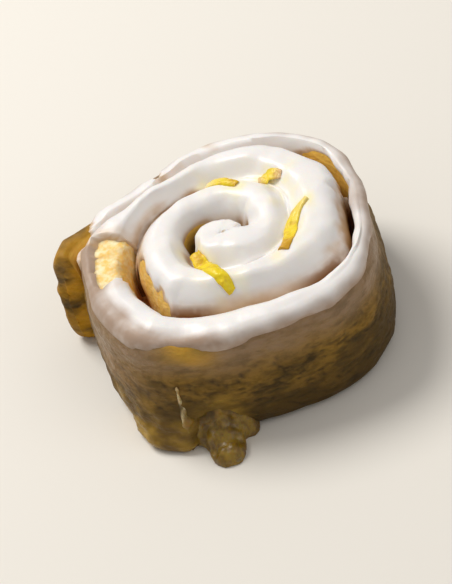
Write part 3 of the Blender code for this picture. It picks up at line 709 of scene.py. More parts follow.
class Shader:
    """A material and short ways to wire it."""

    def __init__(self, name, roughness, **constants):
        self.material = bpy.data.materials.new(name)
        self.material.use_nodes = True
        self.nodes = self.material.node_tree.nodes
        self.links = self.material.node_tree.links
        self.main = self.nodes["Principled BSDF"]
        self.main.inputs["Roughness"].default_value = roughness
        for socket, value in constants.items():
            self.main.inputs[socket.replace("_", " ")].default_value = value

    def link(self, source, target):
        self.links.new(source, target)

    def attribute(self, name):
        node = self.nodes.new("ShaderNodeAttribute")
        node.attribute_name = name
        return node.outputs["Fac"]

    def mottle(self, **values):
        node = self.nodes.new("ShaderNodeGroup")
        node.node_tree = mottle_group()
        for socket, value in values.items():
            node.inputs[socket].default_value = value
        return node

    def mix(self, factor, first, second):
        """Mixes two colours. Each input is a socket or a value."""
        node = self.nodes.new("ShaderNodeMix")
        node.data_type = "RGBA"
        for socket, value in ((node.inputs[0], factor), (node.inputs[6], first), (node.inputs[7], second)):
            if isinstance(value, bpy.types.NodeSocket):
                self.link(value, socket)
            elif isinstance(value, (int, float)):
                socket.default_value = value
            else:
                socket.default_value = (*value, 1.0)
        return node.outputs[2]

    def times(self, *values):
        """The first value times the second, plus the third if there is one. Each is a socket or a number."""
        node = self.nodes.new("ShaderNodeMath")
        node.operation = "MULTIPLY_ADD" if len(values) == 3 else "MULTIPLY"
        for socket, value in zip(node.inputs, values):
            if isinstance(value, bpy.types.NodeSocket):
                self.link(value, socket)
            else:
                socket.default_value = value
        return node.outputs[0]

    def span(self, value, low, high, out_low=0.0, out_high=1.0):
        node = self.nodes.new("ShaderNodeMapRange")
        node.interpolation_type = "SMOOTHSTEP"
        self.link(value, node.inputs["Value"])
        ends = {"From Min": low, "From Max": high, "To Min": out_low, "To Max": out_high}
        for name, number in ends.items():
            node.inputs[name].default_value = number
        return node.outputs["Result"]

    def paint(self, colour, roughness):
        self.link(colour, self.main.inputs["Base Color"])
        self.link(roughness, self.main.inputs["Roughness"])

    def bump(self, height, strength, distance):
        node = self.nodes.new("ShaderNodeBump")
        node.inputs["Strength"].default_value = strength
        node.inputs["Distance"].default_value = distance
        self.link(height, node.inputs["Height"])
        self.link(node.outputs["Normal"], self.main.inputs["Normal"])


def mottle_group():
    """Uneven spots of one size, as a mask and as a height. A squeeze over 1 flattens them along Z."""
    tree = bpy.data.node_groups.get("Mottle")
    if tree:
        return tree
    tree = bpy.data.node_groups.new("Mottle", "ShaderNodeTree")
    for name, value in (("Scale", 200.0), ("Detail", 4.0), ("Squeeze", 1.0), ("Low", 0.4), ("High", 0.6)):
        socket = tree.interface.new_socket(name, in_out="INPUT", socket_type="NodeSocketFloat")
        socket.default_value = value
    for name in ("Mask", "Height"):
        tree.interface.new_socket(name, in_out="OUTPUT", socket_type="NodeSocketFloat")
    nodes, links = tree.nodes, tree.links
    given, result = nodes.new("NodeGroupInput"), nodes.new("NodeGroupOutput")
    place = nodes.new("ShaderNodeTexCoord")
    squeeze = nodes.new("ShaderNodeCombineXYZ")
    squeeze.inputs["X"].default_value = squeeze.inputs["Y"].default_value = 1.0
    links.new(given.outputs["Squeeze"], squeeze.inputs["Z"])
    scaled = nodes.new("ShaderNodeVectorMath")
    scaled.operation = "MULTIPLY"
    links.new(place.outputs["Object"], scaled.inputs[0])
    links.new(squeeze.outputs[0], scaled.inputs[1])
    texture = nodes.new("ShaderNodeTexNoise")
    links.new(scaled.outputs[0], texture.inputs["Vector"])
    links.new(given.outputs["Scale"], texture.inputs["Scale"])
    links.new(given.outputs["Detail"], texture.inputs["Detail"])
    span = nodes.new("ShaderNodeMapRange")
    span.interpolation_type = "SMOOTHSTEP"
    links.new(texture.outputs["Fac"], span.inputs["Value"])
    links.new(given.outputs["Low"], span.inputs["From Min"])
    links.new(given.outputs["High"], span.inputs["From Max"])
    links.new(span.outputs["Result"], result.inputs["Mask"])
    links.new(texture.outputs["Fac"], result.inputs["Height"])
    return tree


def crust_material(colours):
    """Golden to olive brown crust, with a dried film of glaze, bare crumb, and painted shade in its gaps and
    creases.
    """
    shader = Shader("crust", 0.6, Subsurface_Weight=0.10, Subsurface_Scale=0.002, Specular_IOR_Level=0.28)
    broad = shader.mottle(Scale=75.0, Detail=3.0, Squeeze=1.8, Low=0.36, High=0.66)
    fine = shader.mottle(Scale=420.0, Detail=6.0, Squeeze=1.7, Low=0.42, High=0.64)
    streak = shader.mottle(Scale=190.0, Detail=5.0, Squeeze=2.6, Low=0.46, High=0.62)
    crumb = shader.mottle(Scale=430.0, Detail=4.0, Low=0.30, High=0.70)
    crumb_broad = shader.mottle(Scale=190.0, Detail=2.0, Low=0.44, High=0.60)
    # Darker towards the wall's foot and on the front right side, with painted shade in the hollow beside the
    # run of sugar
    darkening_and_shade = shader.attribute("darkening_and_shade")
    dark = shader.times(broad.outputs["Mask"], 0.45, darkening_and_shade)
    dark = shader.times(streak.outputs["Mask"], 0.30, dark)
    base = shader.mix(shader.span(dark, 0.1, 1.25), colours.golden, colours.brown)
    base = shader.mix(shader.times(fine.outputs["Mask"], 0.35), base, colours.brown)
    # Painted shade along the creases, broken up
    broken = shader.span(fine.outputs["Height"], 0.3, 0.6, 0.35, 0.85)
    crust_crease_shade = shader.times(shader.attribute("crust_crease_shade"), broken)
    base = shader.mix(crust_crease_shade, base, tuple(0.45 * channel for channel in colours.brown))
    streaked = shader.span(streak.outputs["Height"], 0.3, 0.7, 1.0, 0.55)
    film = shader.times(shader.attribute("film"), streaked)
    coated = shader.mix(film, base, colours.film)
    crumbs = shader.mix(crumb.outputs["Mask"], colours.orange, colours.cream)
    baked = shader.times(crumb_broad.outputs["Mask"], 0.45)
    crumbs = shader.mix(baked, crumbs, colours.crumb_dark)
    cut_end = shader.mix(broad.outputs["Mask"], colours.gold, base)
    coated = shader.mix(shader.attribute("gold"), coated, cut_end)
    coated = shader.mix(shader.times(shader.attribute("groove"), 0.9), coated, colours.groove)
    shown = shader.mix(shader.attribute("patch"), coated, crumbs)
    # Painted shade inside the gaps
    shown = shader.mix(shader.attribute("gap_shade"), shown, colours.gap_shade)
    amber = shader.mix(broad.outputs["Mask"], colours.amber, colours.amber_dark)
    shown = shader.mix(shader.attribute("sugared"), shown, amber)
    rough = shader.span(film, 0.0, 0.8, 0.62, 0.34)
    rough = shader.times(rough, shader.span(shader.attribute("sugared"), 0.2, 0.8, 1.0, 0.45))
    rough = shader.times(fine.outputs["Mask"], 0.15, rough)
    shader.paint(shown, rough)
    height = shader.times(streak.outputs["Height"], 0.8, fine.outputs["Height"])
    shader.bump(height, 0.5, 0.0010)
    return shader.material


COOL_SHARES = (0.90, 0.905, 0.925)      # of the icing's colour, in its cooler clouds


def icing_material(sizes):
    """Soft white icing. Where it is thinly spread the crust shows through it; painted shade lies along the
    grooves and inside the open gaps.
    """
    shader = Shader("icing", 0.3, Subsurface_Weight=0.30, Subsurface_Scale=0.0013, Coat_Weight=0.08,
                    Coat_Roughness=0.25)
    shader.main.inputs["Subsurface Radius"].default_value = (1.0, 0.72, 0.5)
    cloud = shader.mottle(Scale=60.0, Detail=3.0, Low=0.35, High=0.70)
    grain = shader.mottle(Scale=900.0, Detail=3.0, Low=0.3, High=0.7)
    ripple = shader.mottle(Scale=170.0, Detail=2.0, Low=0.3, High=0.7)
    cool = tuple(channel * share for channel, share in zip(sizes.colour, COOL_SHARES))
    body = shader.mix(shader.times(cloud.outputs["Mask"], 0.55), sizes.colour, cool)
    # Thin icing, together with the painted shade beside the grooves
    thin = shader.times(ripple.outputs["Height"], 0.35, shader.attribute("thin"))
    body = shader.mix(shader.attribute("stain"), body, sizes.stain_colour)
    body = shader.mix(shader.span(thin, 0.30, 1.05), body, sizes.thin_and_shade_colour)
    uneven = shader.span(ripple.outputs["Height"], 0.25, 0.6, 0.8, 1.0)
    veil = shader.times(shader.attribute("veil"), uneven)
    body = shader.mix(veil, body, sizes.veil_colour)
    # Painted shade at the grooves' foot and inside the open gaps
    broken = shader.span(ripple.outputs["Height"], 0.2, 0.5)
    crease = shader.times(shader.attribute("crease"), broken)
    body = shader.mix(crease, body, sizes.groove_shade)
    rough = shader.span(cloud.outputs["Height"], 0.3, 0.7, 0.30, 0.46)
    shader.paint(body, shader.times(veil, 0.22, rough))
    height = shader.times(grain.outputs["Height"], 0.10, ripple.outputs["Height"])
    shader.bump(height, 0.25, 0.0010)
    return shader.material


def zest_material(colours):
    """Lemon peel: bright yellow, pitted, with orange ends and spots."""
    shader = Shader("zest", 0.42, Subsurface_Weight=0.08, Subsurface_Scale=0.0010)
    spots = shader.mottle(Scale=380.0, Detail=3.0, Low=0.50, High=0.66)
    pits = shader.mottle(Scale=1300.0, Detail=2.0, Low=0.35, High=0.65)
    orange = shader.times(spots.outputs["Mask"], 0.45, shader.attribute("orange"))
    body = shader.mix(shader.span(orange, 0.0, 1.0), colours.zest, colours.zest_end)
    body = shader.mix(shader.times(shader.attribute("iced"), 0.9), body, colours.zest_iced)
    shader.paint(body, shader.span(spots.outputs["Height"], 0.3, 0.7, 0.30, 0.50))
    shader.bump(pits.outputs["Height"], 0.35, 0.0006)
    return shader.material


def sugar_material(colours, crust):
    """Sticky amber sugar baked on in runs, which fade into the crust further up."""
    shader = Shader("sugar", 0.22, Subsurface_Weight=0.25, Subsurface_Scale=0.003, Coat_Weight=0.15,
                    Coat_Roughness=0.10, Specular_IOR_Level=0.35)
    patches = shader.mottle(Scale=190.0, Detail=4.0, Squeeze=0.6, Low=0.40, High=0.62)
    fine = shader.mottle(Scale=600.0, Detail=4.0, Squeeze=0.7, Low=0.45, High=0.65)
    body = shader.mix(patches.outputs["Mask"], colours.sugar_pale, colours.sugar)
    body = shader.mix(shader.times(fine.outputs["Mask"], 0.5), body, colours.sugar_dark)
    # Painted highlight down the strand
    streaks = shader.span(fine.outputs["Height"], 0.35, 0.6, 0.25, 0.9)
    strand_highlight = shader.times(shader.attribute("strand_highlight"), streaks)
    body = shader.mix(strand_highlight, body, colours.strand_highlight)
    high = shader.attribute("high")
    body = shader.mix(high, body, shader.mix(patches.outputs["Mask"], crust.golden, crust.brown))
    rough = shader.span(fine.outputs["Height"], 0.3, 0.7, 0.14, 0.40)
    shader.paint(body, shader.times(high, 0.25, rough))
    shader.bump(fine.outputs["Height"], 0.35, 0.0010)
    return shader.material


def on_outer_wall(coil):
    """The wall and the outer turn's rim."""
    return (coil.level > 0.0) | ((coil.side_deg == coil.deg) & (coil.deg > TAIL_END + 0.1))


def on_cut_end(coil):
    return (coil.level > 0.0) & (coil.end < 0.5)


def crust_marks(dress):
    """Numbers for each point that tell the crust's material what shows there."""
    coil = dress.coil
    share, side_deg, height = coil.share, coil.side_deg, coil.points[:, 2]
    degrees, radius = plan_polar(coil.points)
    walled, lip_kept = on_outer_wall(coil), iced_lip(coil)
    under_film = height - dress.low_edge
    tail = smooth_step(coil.deg, *TAIL_BARE)
    flank = near(degrees, *BARE_FLANK) * near(radius, 29.0 * MM, 5.0 * MM) * (coil.deg < FLANK_END)
    rim_spot = near(degrees, *RIM_SPOT) * smooth_step(under_film, -8.0 * MM, -1.0 * MM) * (radius > 40.0 * MM)
    # Painted shade in the hollow beside the run of sugar
    hollow_shade = near(degrees, *HOLLOW_SHADE) * near(height, 7.5 * MM, 6.5 * MM) * walled

    film = 0.95 * smooth_step(under_film, -14.0 * MM, -1.0 * MM)
    corner = 0.9 * near(degrees, *FILM_CORNER) * smooth_step(under_film, -30.0 * MM, -9.0 * MM)
    film = np.maximum(film, corner) * (1.0 - np.maximum(on_cut_end(coil), 0.8 * tail)) * walled
    gold = np.maximum(on_cut_end(coil), 0.55 * tail)

    by_core = near(side_deg, *CORE_GAP) * (side_deg < 300.0) * ~walled
    # A painted shade line at the foot of the gap beside the middle
    core_shade_line = by_core * (1.0 - smooth_step(share, 0.03, 0.22))
    golden_gap = np.maximum(near(side_deg, *BACK_GAP), 0.4 * by_core) * (share < 0.6)
    lip = between(share, -0.10, 0.02, 0.5, 0.8) * ~walled * (1.0 - 0.9 * lip_kept)
    groove = np.maximum(np.maximum(golden_gap, flank), 0.8 * lip) * (1.0 - core_shade_line)
    # Painted shade inside the gaps, more of it deeper down the slot and where the gap is open
    gap_shade = smooth_step(-share, -0.05, 0.12) * (0.35 + 0.65 * coil.open) * (~walled & (share < 0.3))
    gap_shade *= (1.0 - 0.5 * near(side_deg, *LEFT_GAP)) * (1.0 - 0.8 * golden_gap) * (1.0 - 0.8 * core_shade_line)

    # Painted shade: dark lines in the wall's wrinkles, at the foot of the gap beside the middle and at the
    # foot of the iced lip
    crust_crease_shade = near(wrinkles(coil.points), 0.0, 0.09) * smooth_step(coil.level, 0.5, 4.0)
    crust_crease_shade = np.maximum(np.maximum(crust_crease_shade, core_shade_line), 0.8 * lip_kept * (1.0 - smooth_step(share, 0.05, 0.35)))
    # The wall is darker towards its foot and on the front right side; the hollow beside the run of sugar gets
    # painted shade
    darkening_and_shade = np.where(coil.level > 0.0, 1.0 - smooth_step(height, 3.0 * MM, 30.0 * MM), 0.15)
    darkening_and_shade += 1.4 * hollow_shade + 0.25 * near(degrees, *DARKER_SIDE) * walled
    return {
        "patch": np.maximum(dress.patch, 0.45 * flank),
        "film": film * (1.0 - 0.85 * rim_spot),
        "gap_shade": gap_shade,
        "darkening_and_shade": 0.95 * darkening_and_shade,
        "gold": np.maximum(gold, 0.6 * rim_spot),
        "groove": np.maximum(groove, 0.35 * rim_spot),
        "sugared": sugar_patch(coil) * (1.0 - 0.9 * hollow_shade),
        "crust_crease_shade": crust_crease_shade,
    }


class ROLL_OT_dough(bpy.types.Operator):
    """Makes the coil of dough with its crust, open gaps and bare patch"""

    bl_idname = "lemon_roll.dough"
    bl_label = "Dough"

    def execute(self, context):
        dress = Dress.get()
        coil = dress.coil
        relief = dough_relief(coil, dress.patch)
        points = warp(coil.points + dress.normals * relief[:, None])
        points[:, 2] = np.where(coil.points[:, 2] < 1e-6, 0.0, points[:, 2])
        foot = list(reversed(dress.foot_ring))
        piece = mesh_piece("roll_dough", points, dress.top + dress.wall + [foot], **crust_marks(dress))
        finish_piece(piece, "crust", crust_material(context.scene.roll_crust), "dough")
        return {"FINISHED"}


NO_ICING = -0.6 * MM             # an icing thickness that leaves the dough bare
ICING_ROOT = 1.0 * MM            # the icing's lower side is this far inside the dough
BARE_BELOW = -0.35 * MM          # cells whose icing lies lower than this are left out


def icing_lumps(points):
    """How uneven the icing's thickness is, as a factor."""
    lumps = 0.30 * field(points, 13.0 * MM, 41) + 0.20 * field(points, 5.5 * MM, 42)
    return 1.0 + lumps + 0.05 * field(points, 2.4 * MM, 44)


def icing_thickness(dress, sizes):
    """How thick the icing is at each point of the coil. Below zero there is none."""
    coil = dress.coil
    points, share = coil.points, coil.share
    over_top = sizes.crown * icing_lumps(points)
    degrees, _ = plan_polar(points)
    over_top *= 1.0 - 0.5 * near(degrees, *THIN_BACK) * (coil.deg > TAIL_END)
    shoulder = smooth_step(share, 0.0, 0.75)
    right_lip = near(coil.side_deg, *RIGHT_LIP) * (coil.deg < 800.0)
    shoulder = np.maximum(shoulder, right_lip * (0.25 + 0.3 * smooth_step(share, -0.2, 0.2)))
    shoulder = np.maximum(shoulder, iced_lip(coil) * (0.25 + 0.6 * smooth_step(share, -0.15, 0.25)))
    parted = NO_ICING + (over_top - NO_ICING) * shoulder
    parted = parted * coil.open + over_top * (1.0 - coil.open)

    over_edge = points[:, 2] - dress.low_edge
    lip = np.sqrt(1.0 - (1.0 - np.clip(over_edge / (1.8 * MM), 0.0, 1.0)) ** 2)
    down = smooth_step(over_edge, 0.3 * MM, 4.6 * MM)
    tucked = -0.55 * MM
    on_wall = tucked + (sizes.wall + (over_top - sizes.wall) * down - tucked) * lip
    thickness = np.where(on_outer_wall(coil), on_wall, parted)
    thickness = np.where(on_cut_end(coil), NO_ICING, thickness)
    tail_edge = np.where(coil.level == 0.0, smooth_step(coil.end, 0.25, 1.0), 1.0)
    thickness = NO_ICING + (thickness - NO_ICING) * tail_edge
    bare_end = smooth_step(coil.deg + 5.0 * field(points, 6.0 * MM, 43), TAIL_END + 338.0, TAIL_END + 348.0)
    return thickness - (dress.patch + bare_end) * 3.2 * MM - worn_spots(coil)


def iced_lip(coil):
    """The outer turn's edge at the left gap, which keeps its icing down to the gap."""
    return near(coil.side_deg, *LEFT_LIP) * (coil.deg > TAIL_END) * (coil.level == 0.0)


def worn_spots(coil):
    """How much icing is missing at the thinned and bare spots."""
    points = coil.points
    degrees, radius = plan_polar(points)
    flank = near(degrees, *WORN_FLANK) * near(radius, 27.6 * MM, 3.0 * MM) * (coil.deg < 600.0)
    rim = near(degrees, *WORN_RIM) * near(points[:, 2], 35.0 * MM, 2.6 * MM) * (radius > 40.0 * MM)
    back = near(degrees, *WORN_BACK) * near(radius, 43.5 * MM, 2.8 * MM) * (coil.deg > 1100.0)
    inside = near(degrees, *WORN_INSIDE) * (coil.deg > 1000.0) * (coil.across < 0.45)
    worn = 3.3 * MM * flank * np.clip(0.5 + 1.1 * field(points, 5.0 * MM, 51), 0.0, 1.0)
    worn += 3.0 * MM * rim * np.clip(0.6 + 1.0 * field(points, 4.0 * MM, 52), 0.0, 1.0)
    worn += 2.6 * MM * back * np.clip(0.5 + 1.0 * field(points, 3.0 * MM, 53), 0.0, 1.0)
    return worn + 2.2 * MM * inside * (1.0 - smooth_step(coil.share, 0.3, 0.8))


def icing_surface(dress, sizes):
    """The icing's upper side: draped over the turns, and level across the closed grooves."""
    coil = dress.coil
    points = coil.points
    thickness = icing_thickness(dress, sizes)
    draped = points + dress.normals * thickness[:, None]
    filled = points.copy()
    filled[:, 2] = np.maximum(coil.fill_top + sizes.crown * icing_lumps(points), points[:, 2] + 0.9 * MM)
    grooved = (coil.level == 0.0) & (coil.share < 0.999) & (coil.side_deg > GROOVE_START)
    grooved &= ~on_outer_wall(coil)
    kept = (1.0 - coil.open) * grooved * smooth_step(thickness, 0.0, 1.2 * MM)
    kept *= smooth_step(coil.end, 0.25, 1.0) * (1.0 - np.clip(dress.patch * 1.5, 0.0, 1.0))
    return draped * (1.0 - kept[:, None]) + filled * kept[:, None]


def icing_marks(dress, standing):
    """Numbers for each point that tell the icing's material where crust or zest tints it, and where painted
    shade lies.
    """
    coil = dress.coil
    points, share = coil.points, coil.share
    degrees, radius = plan_polar(points)
    tint, crease = groove_shade(coil)
    flank = near(degrees, *THIN_FLANK) * near(radius, 29.0 * MM, 4.0 * MM) * (coil.deg < FLANK_END)
    flank *= np.clip(0.6 + 0.9 * field(points, 4.0 * MM, 54), 0.0, 1.0)
    tail = smooth_step(coil.deg, 1130.0, 1180.0) * np.clip(0.2 + 1.1 * field(points, 4.5 * MM, 55), 0.0, 1.0)
    on_coil = (coil.deg < 800.0) * np.clip(0.75 + 0.6 * field(points, 3.5 * MM, 56), 0.0, 1.0)
    right_flank = near(coil.side_deg, *RIGHT_FLANK) * on_coil * (1.0 - smooth_step(share, 0.25, 0.95))
    lips = coil.open * (coil.level == 0.0)
    bare_lips = lips * (1.0 - 0.7 * iced_lip(coil)) * (1.0 - smooth_step(share, 0.05, 0.55))
    thin = 1.0 - smooth_step(standing, 0.0, 0.7 * MM)
    # The painted shade beside the grooves goes in with the thin icing
    for mark in (tint, flank, 0.75 * tail, 0.85 * right_flank, 0.9 * bare_lips, 0.75 * dress.halo):
        thin = np.maximum(thin, mark)
    # Painted shade on the icing inside the open gaps
    in_slot = 0.35 * (1.0 - smooth_step(share, 0.0, 0.16)) + 0.65 * (share < -0.02)
    crease = np.maximum(crease, smooth_step(lips, 0.0, 0.4) * in_slot)
    return {"thin": thin, "crease": crease, "veil": rim_veil(coil), "stain": zest_stain(points)}


class ROLL_OT_icing(bpy.types.Operator):
    """Lays the icing over the coil, just over its rim and into the closed grooves"""

    bl_idname = "lemon_roll.icing"
    bl_label = "Icing"

    def execute(self, context):
        dress, sizes = Dress.get(), context.scene.roll_icing
        points = dress.coil.points
        over = icing_surface(dress, sizes)
        under = points - dress.normals * ICING_ROOT
        standing = np.einsum("ij,ij->i", over - points, dress.normals)
        hidden = standing < BARE_BELOW
        wall, _ = dress.coil.wall_faces(ICED_LEVELS)
        cells = [face for face in dress.top + wall if not all(hidden[corner] for corner in face)]
        both = np.concatenate([warp_with(points, over), warp_with(points, under)])
        values = {name: np.tile(value, 2) for name, value in icing_marks(dress, standing).items()}
        piece = mesh_piece("roll_icing", both, shell_faces(cells, len(points)), sharp=80.0, **values)
        finish_piece(piece, "icing", icing_material(sizes), "icing")
        return {"FINISHED"}


def groove_shade(coil):
    """How much painted shade lies on the icing beside each groove, and how dark the painted shade line at the
    groove's foot is.
    """
    side, valley = coil.side_deg, coil.valley
    shallow = between(side, *FRONT_CREASE) + between(side, *FRONT_RIGHT_CREASE)
    steep = 1.2 * near(side, *RIGHT_CREASE) + near(side, *LEFT_CREASE) + near(side, *BACK_LEFT_CREASE)
    core = near(side, *CORE_CREASE) * (side < 220.0)
    # Painted shade beside the grooves, strongest down in the valley
    tint = 0.6 * shallow * smooth_step(valley, 0.14, 0.66) + 0.85 * steep * valley**1.7
    tint = np.maximum(tint, 0.35 * smooth_step(valley, 0.15, 0.60) * (side > 560.0) * (side < 720.0))
    tint += core * valley**0.8
    # The painted shade line at the groove's foot
    line = shallow * smooth_step(valley, 0.40, 0.72) + 0.9 * steep * valley**5
    line += core * smooth_step(valley, 0.34, 0.85)
    return np.clip(tint, 0.0, 1.0), np.clip(line, 0.0, 1.0)


def rim_veil(coil):
    """How see-through the icing is where it thins out over the rim. It reaches furthest in at the left."""
    degrees, radius = plan_polar(coil.points)
    inwards = np.full(len(radius), 1.0)
    for n in np.flatnonzero(coil.deg > TAIL_END):
        inwards[n] = wall_radius(coil.sizes, coil.deg[n]) - radius[n]
    left = between(degrees, *VEIL_ANGLES)
    ragged = 0.9 * MM * field(coil.points, 6.0 * MM, 81) * (1.0 + left)
    starts, ends = (1.3 + 4.4 * left) * MM, (4.6 + 5.6 * left) * MM
    return 1.0 - smooth_step((inwards + ragged - starts) / (ends - starts), 0.0, 1.0)


def zest_stain(points):
    """A yellow tint in patches about the strips of zest, and in a wide one between three of them."""
    flat = points[:, :2] / MM
    away = np.linalg.norm(flat - np.array(STAIN_MIDDLE), axis=1)
    stain = 0.7 * near(away, 0.0, 10.0)
    for strip in ZEST_STRIPS:
        for step in range(STAIN_SPOTS):
            spot = point_along(strip[1], step / (STAIN_SPOTS - 1))
            away = np.linalg.norm(flat - spot, axis=1)
            stain = np.maximum(stain, near(away, 0.0, 5.0))
    return stain * np.clip(0.35 + 1.3 * field(points, 5.0 * MM, 91), 0.0, 1.0)


def warp_with(skin, points):
    """Moves points as the skin under them moves."""
    return points + (warp(skin) - skin)


def shell_faces(cells, count):
    """Faces of a closed shell: the cells above, the same cells below, and a lip round every free edge."""
    faces, edges = [], set()
    for face in cells:
        faces.append(face)
        faces.append([corner + count for corner in reversed(face)])
        edges.update(zip(face, face[1:] + face[:1]))
    for a, b in sorted(edges):
        if (b, a) not in edges:
            faces.append([b, a, a + count, b + count])
    return faces


# The strips of zest: name, path seen from above in millimetres, width, thickness, how orange the start and
# the end are, how iced over they are, and up to which share of its length the start is cut blunt
ZEST_STRIPS = (
    ("middle", ((-10.4, -3.6), (-8.6, -11.0), (-5.5, -19.5), (-2.1, -27.4)),
     5.2 * MM, 1.6 * MM, (0.7, 0.0), (0.0, 0.0), 0.03),
    ("right", ((17.0, -19.4), (18.7, -16.6), (20.4, -12.0), (22.4, -6.4), (25.2, -2.0), (29.4, 0.8)),
     4.4 * MM, 1.3 * MM, (1.5, 0.2), (0.0, 0.35), 0.22),
    ("back", ((-0.6, 24.9), (3.4, 23.7), (6.8, 21.0), (9.6, 17.6)),
     4.7 * MM, 1.3 * MM, (0.1, 0.6), (0.7, 0.0), 0.03),
    ("back_right", ((16.6, 20.1), (20.5, 19.8), (24.4, 17.6)),
     4.4 * MM, 0.9 * MM, (0.9, 1.1), (0.45, 0.45), 0.03),
)
ZEST_STEPS = 72                  # along a strip
ZEST_ACROSS = 10                 # and across it
ZEST_DRAPE = 1.1 * MM            # a strip hangs down at its sides by this much at most
ZEST_SINK = 0.15 * MM            # how far a strip sinks into the icing
ORANGE_FALL = 2.3                # the orange at an end fades out over the strip's length divided by this
STAIN_MIDDLE = (20.0, 8.0)
STAIN_SPOTS = 9


class ROLL_OT_zest(bpy.types.Operator):
    """Lays the strips of zest on the icing"""

    bl_idname = "lemon_roll.zest"
    bl_label = "Zest"

    def execute(self, context):
        surface = BVHTree.FromObject(bpy.data.objects["roll_icing"], context.evaluated_depsgraph_get())
        material = zest_material(context.scene.roll_trim)
        for n, (name, path, width, thickness, orange, iced, blunt) in enumerate(ZEST_STRIPS):
            piece = zest_strip(name, surface, path, width, thickness, orange, iced, blunt, n)
            finish_piece(piece, "zest", material, "zest_" + name)
        return {"FINISHED"}


def zest_strip(name, surface, path, width, thickness, orange, iced, blunt, seed):
    """One strip: a shallow curved ribbon with ragged edges, laid on the surface."""
    points, orange_values, iced_values = [], [], []
    rings = []
    for n in range(ZEST_STEPS + 1):
        share = n / ZEST_STEPS
        ground = point_along(path, share) * MM
        ahead = point_along(path, min(share + 0.02, 1.0)) - point_along(path, max(share - 0.02, 0.0))
        side = np.array([-ahead[1], ahead[0]]) / np.linalg.norm(ahead)
        ragged = noise.noise(Vector((share * 9.0, seed * 5.0, 0.0)))
        taper = 0.35 + 0.65 * math.sin(math.pi * min(max(share, blunt), 0.97)) ** 0.5
        taper *= 1.0 + 0.16 * ragged
        half = 0.5 * width * taper
        lows = []
        for m in range(ZEST_ACROSS + 1):
            s = 2.0 * m / ZEST_ACROSS - 1.0
            spot = ground + side * half * s
            hit = surface.ray_cast(Vector((spot[0], spot[1], 0.1)), Vector((0.0, 0.0, -1.0)))[0]
            lows.append((s, spot, hit.z))
        level = max(low for _, _, low in lows)
        ring = []
        for upper in (False, True):
            for s, spot, low in (reversed(lows) if upper else lows):
                floor = max(low, level - ZEST_DRAPE) - ZEST_SINK
                if upper:
                    grain = 0.12 * MM * noise.noise(Vector((share * 30.0, s * 2.0, seed)))
                    curl = 0.35 * MM * s * math.sin(5.0 * share + seed) * (1.0 - abs(s) ** 4)
                    rise = thickness * taper**0.5 * (1.0 - 0.55 * abs(s) ** 2.5) + grain + curl
                    spot = ground + (spot - ground) * 0.93
                    floor += max(rise, 0.25 * MM)
                ring.append(len(points))
                points.append((spot[0], spot[1], floor))
                reach = [max(0.0, 1.0 - away * ORANGE_FALL) for away in (share, 1.0 - share)]
                orange_values.append(orange[0] * reach[0] + orange[1] * reach[1])
                iced_values.append(iced[0] * (1.0 - share) ** 4 + iced[1] * share**4)
        rings.append(ring)
    faces = []
    for before, after in zip(rings, rings[1:]):
        for n in range(len(before)):
            m = (n + 1) % len(before)
            faces.append([before[n], before[m], after[m], after[n]])
    faces.append(list(reversed(rings[0])))
    faces.append(list(rings[-1]))
    return mesh_piece("roll_zest_" + name, points, faces, sharp=70.0, orange=orange_values, iced=iced_values)


# Runs of baked sugar, and last the thin strand: the direction in degrees that each faces, its distance to the
# side, and its cuts: distance from the middle, half width and height, in millimetres
SUGAR_RUNS = (
    (247.0, 0.5, ((42.0, 3.4, 17.0), (47.2, 3.2, 14.0), (49.0, 2.8, 9.0), (50.6, 2.2, 4.0))),
    (270.0, -17.8, ((40.0, 9.4, 15.5), (45.6, 9.0, 13.5), (47.4, 7.6, 9.5), (49.6, 6.4, 7.0),
                    (53.0, 5.9, 5.4), (56.6, 4.9, 4.0), (59.2, 2.6, 1.8))),
    (270.0, -9.5, ((40.0, 4.0, 10.0), (45.4, 3.6, 8.0), (47.8, 2.8, 4.0), (49.0, 1.6, 1.6))),
    (237.5, 0.0, ((50.6, 1.2, 27.0), (51.6, 1.9, 22.8), (52.8, 2.1, 18.6), (54.0, 1.9, 14.8),
                  (55.4, 1.4, 10.6))),
)
RUN_SIDES = 24
RUN_STEPS = 40
RUN_GRAIN = 0.55 * MM            # the size of the grains that fuse the runs
STRAND_HIGHLIGHT_ANGLE = 237.4             # degrees; the painted highlight down the strand


def run_body(shape, heading, sideways, cuts):
    ahead = plan(1.0, heading)
    side = Vector((-ahead.y, ahead.x, 0.0))
    rings = []
    for step in range(RUN_STEPS + 1):
        distance, half_width, height = point_along(cuts, step / RUN_STEPS)
        middle = ahead * distance * MM + side * sideways * MM
        ring = []
        for n in range(RUN_SIDES + 1):
            turn = math.pi * n / RUN_SIDES
            spot = middle + side * half_width * MM * math.cos(turn)
            spot.z = height * MM * math.sin(turn)
            ring.append(shape.verts.new(spot))
        rings.append(ring)
    for inner, outer in zip(rings, rings[1:]):
        for n in range(RUN_SIDES + 1):
            m = (n + 1) % (RUN_SIDES + 1)
            shape.faces.new((inner[n], outer[n], outer[m], inner[m]))
    shape.faces.new(rings[0])
    shape.faces.new(reversed(rings[-1]))


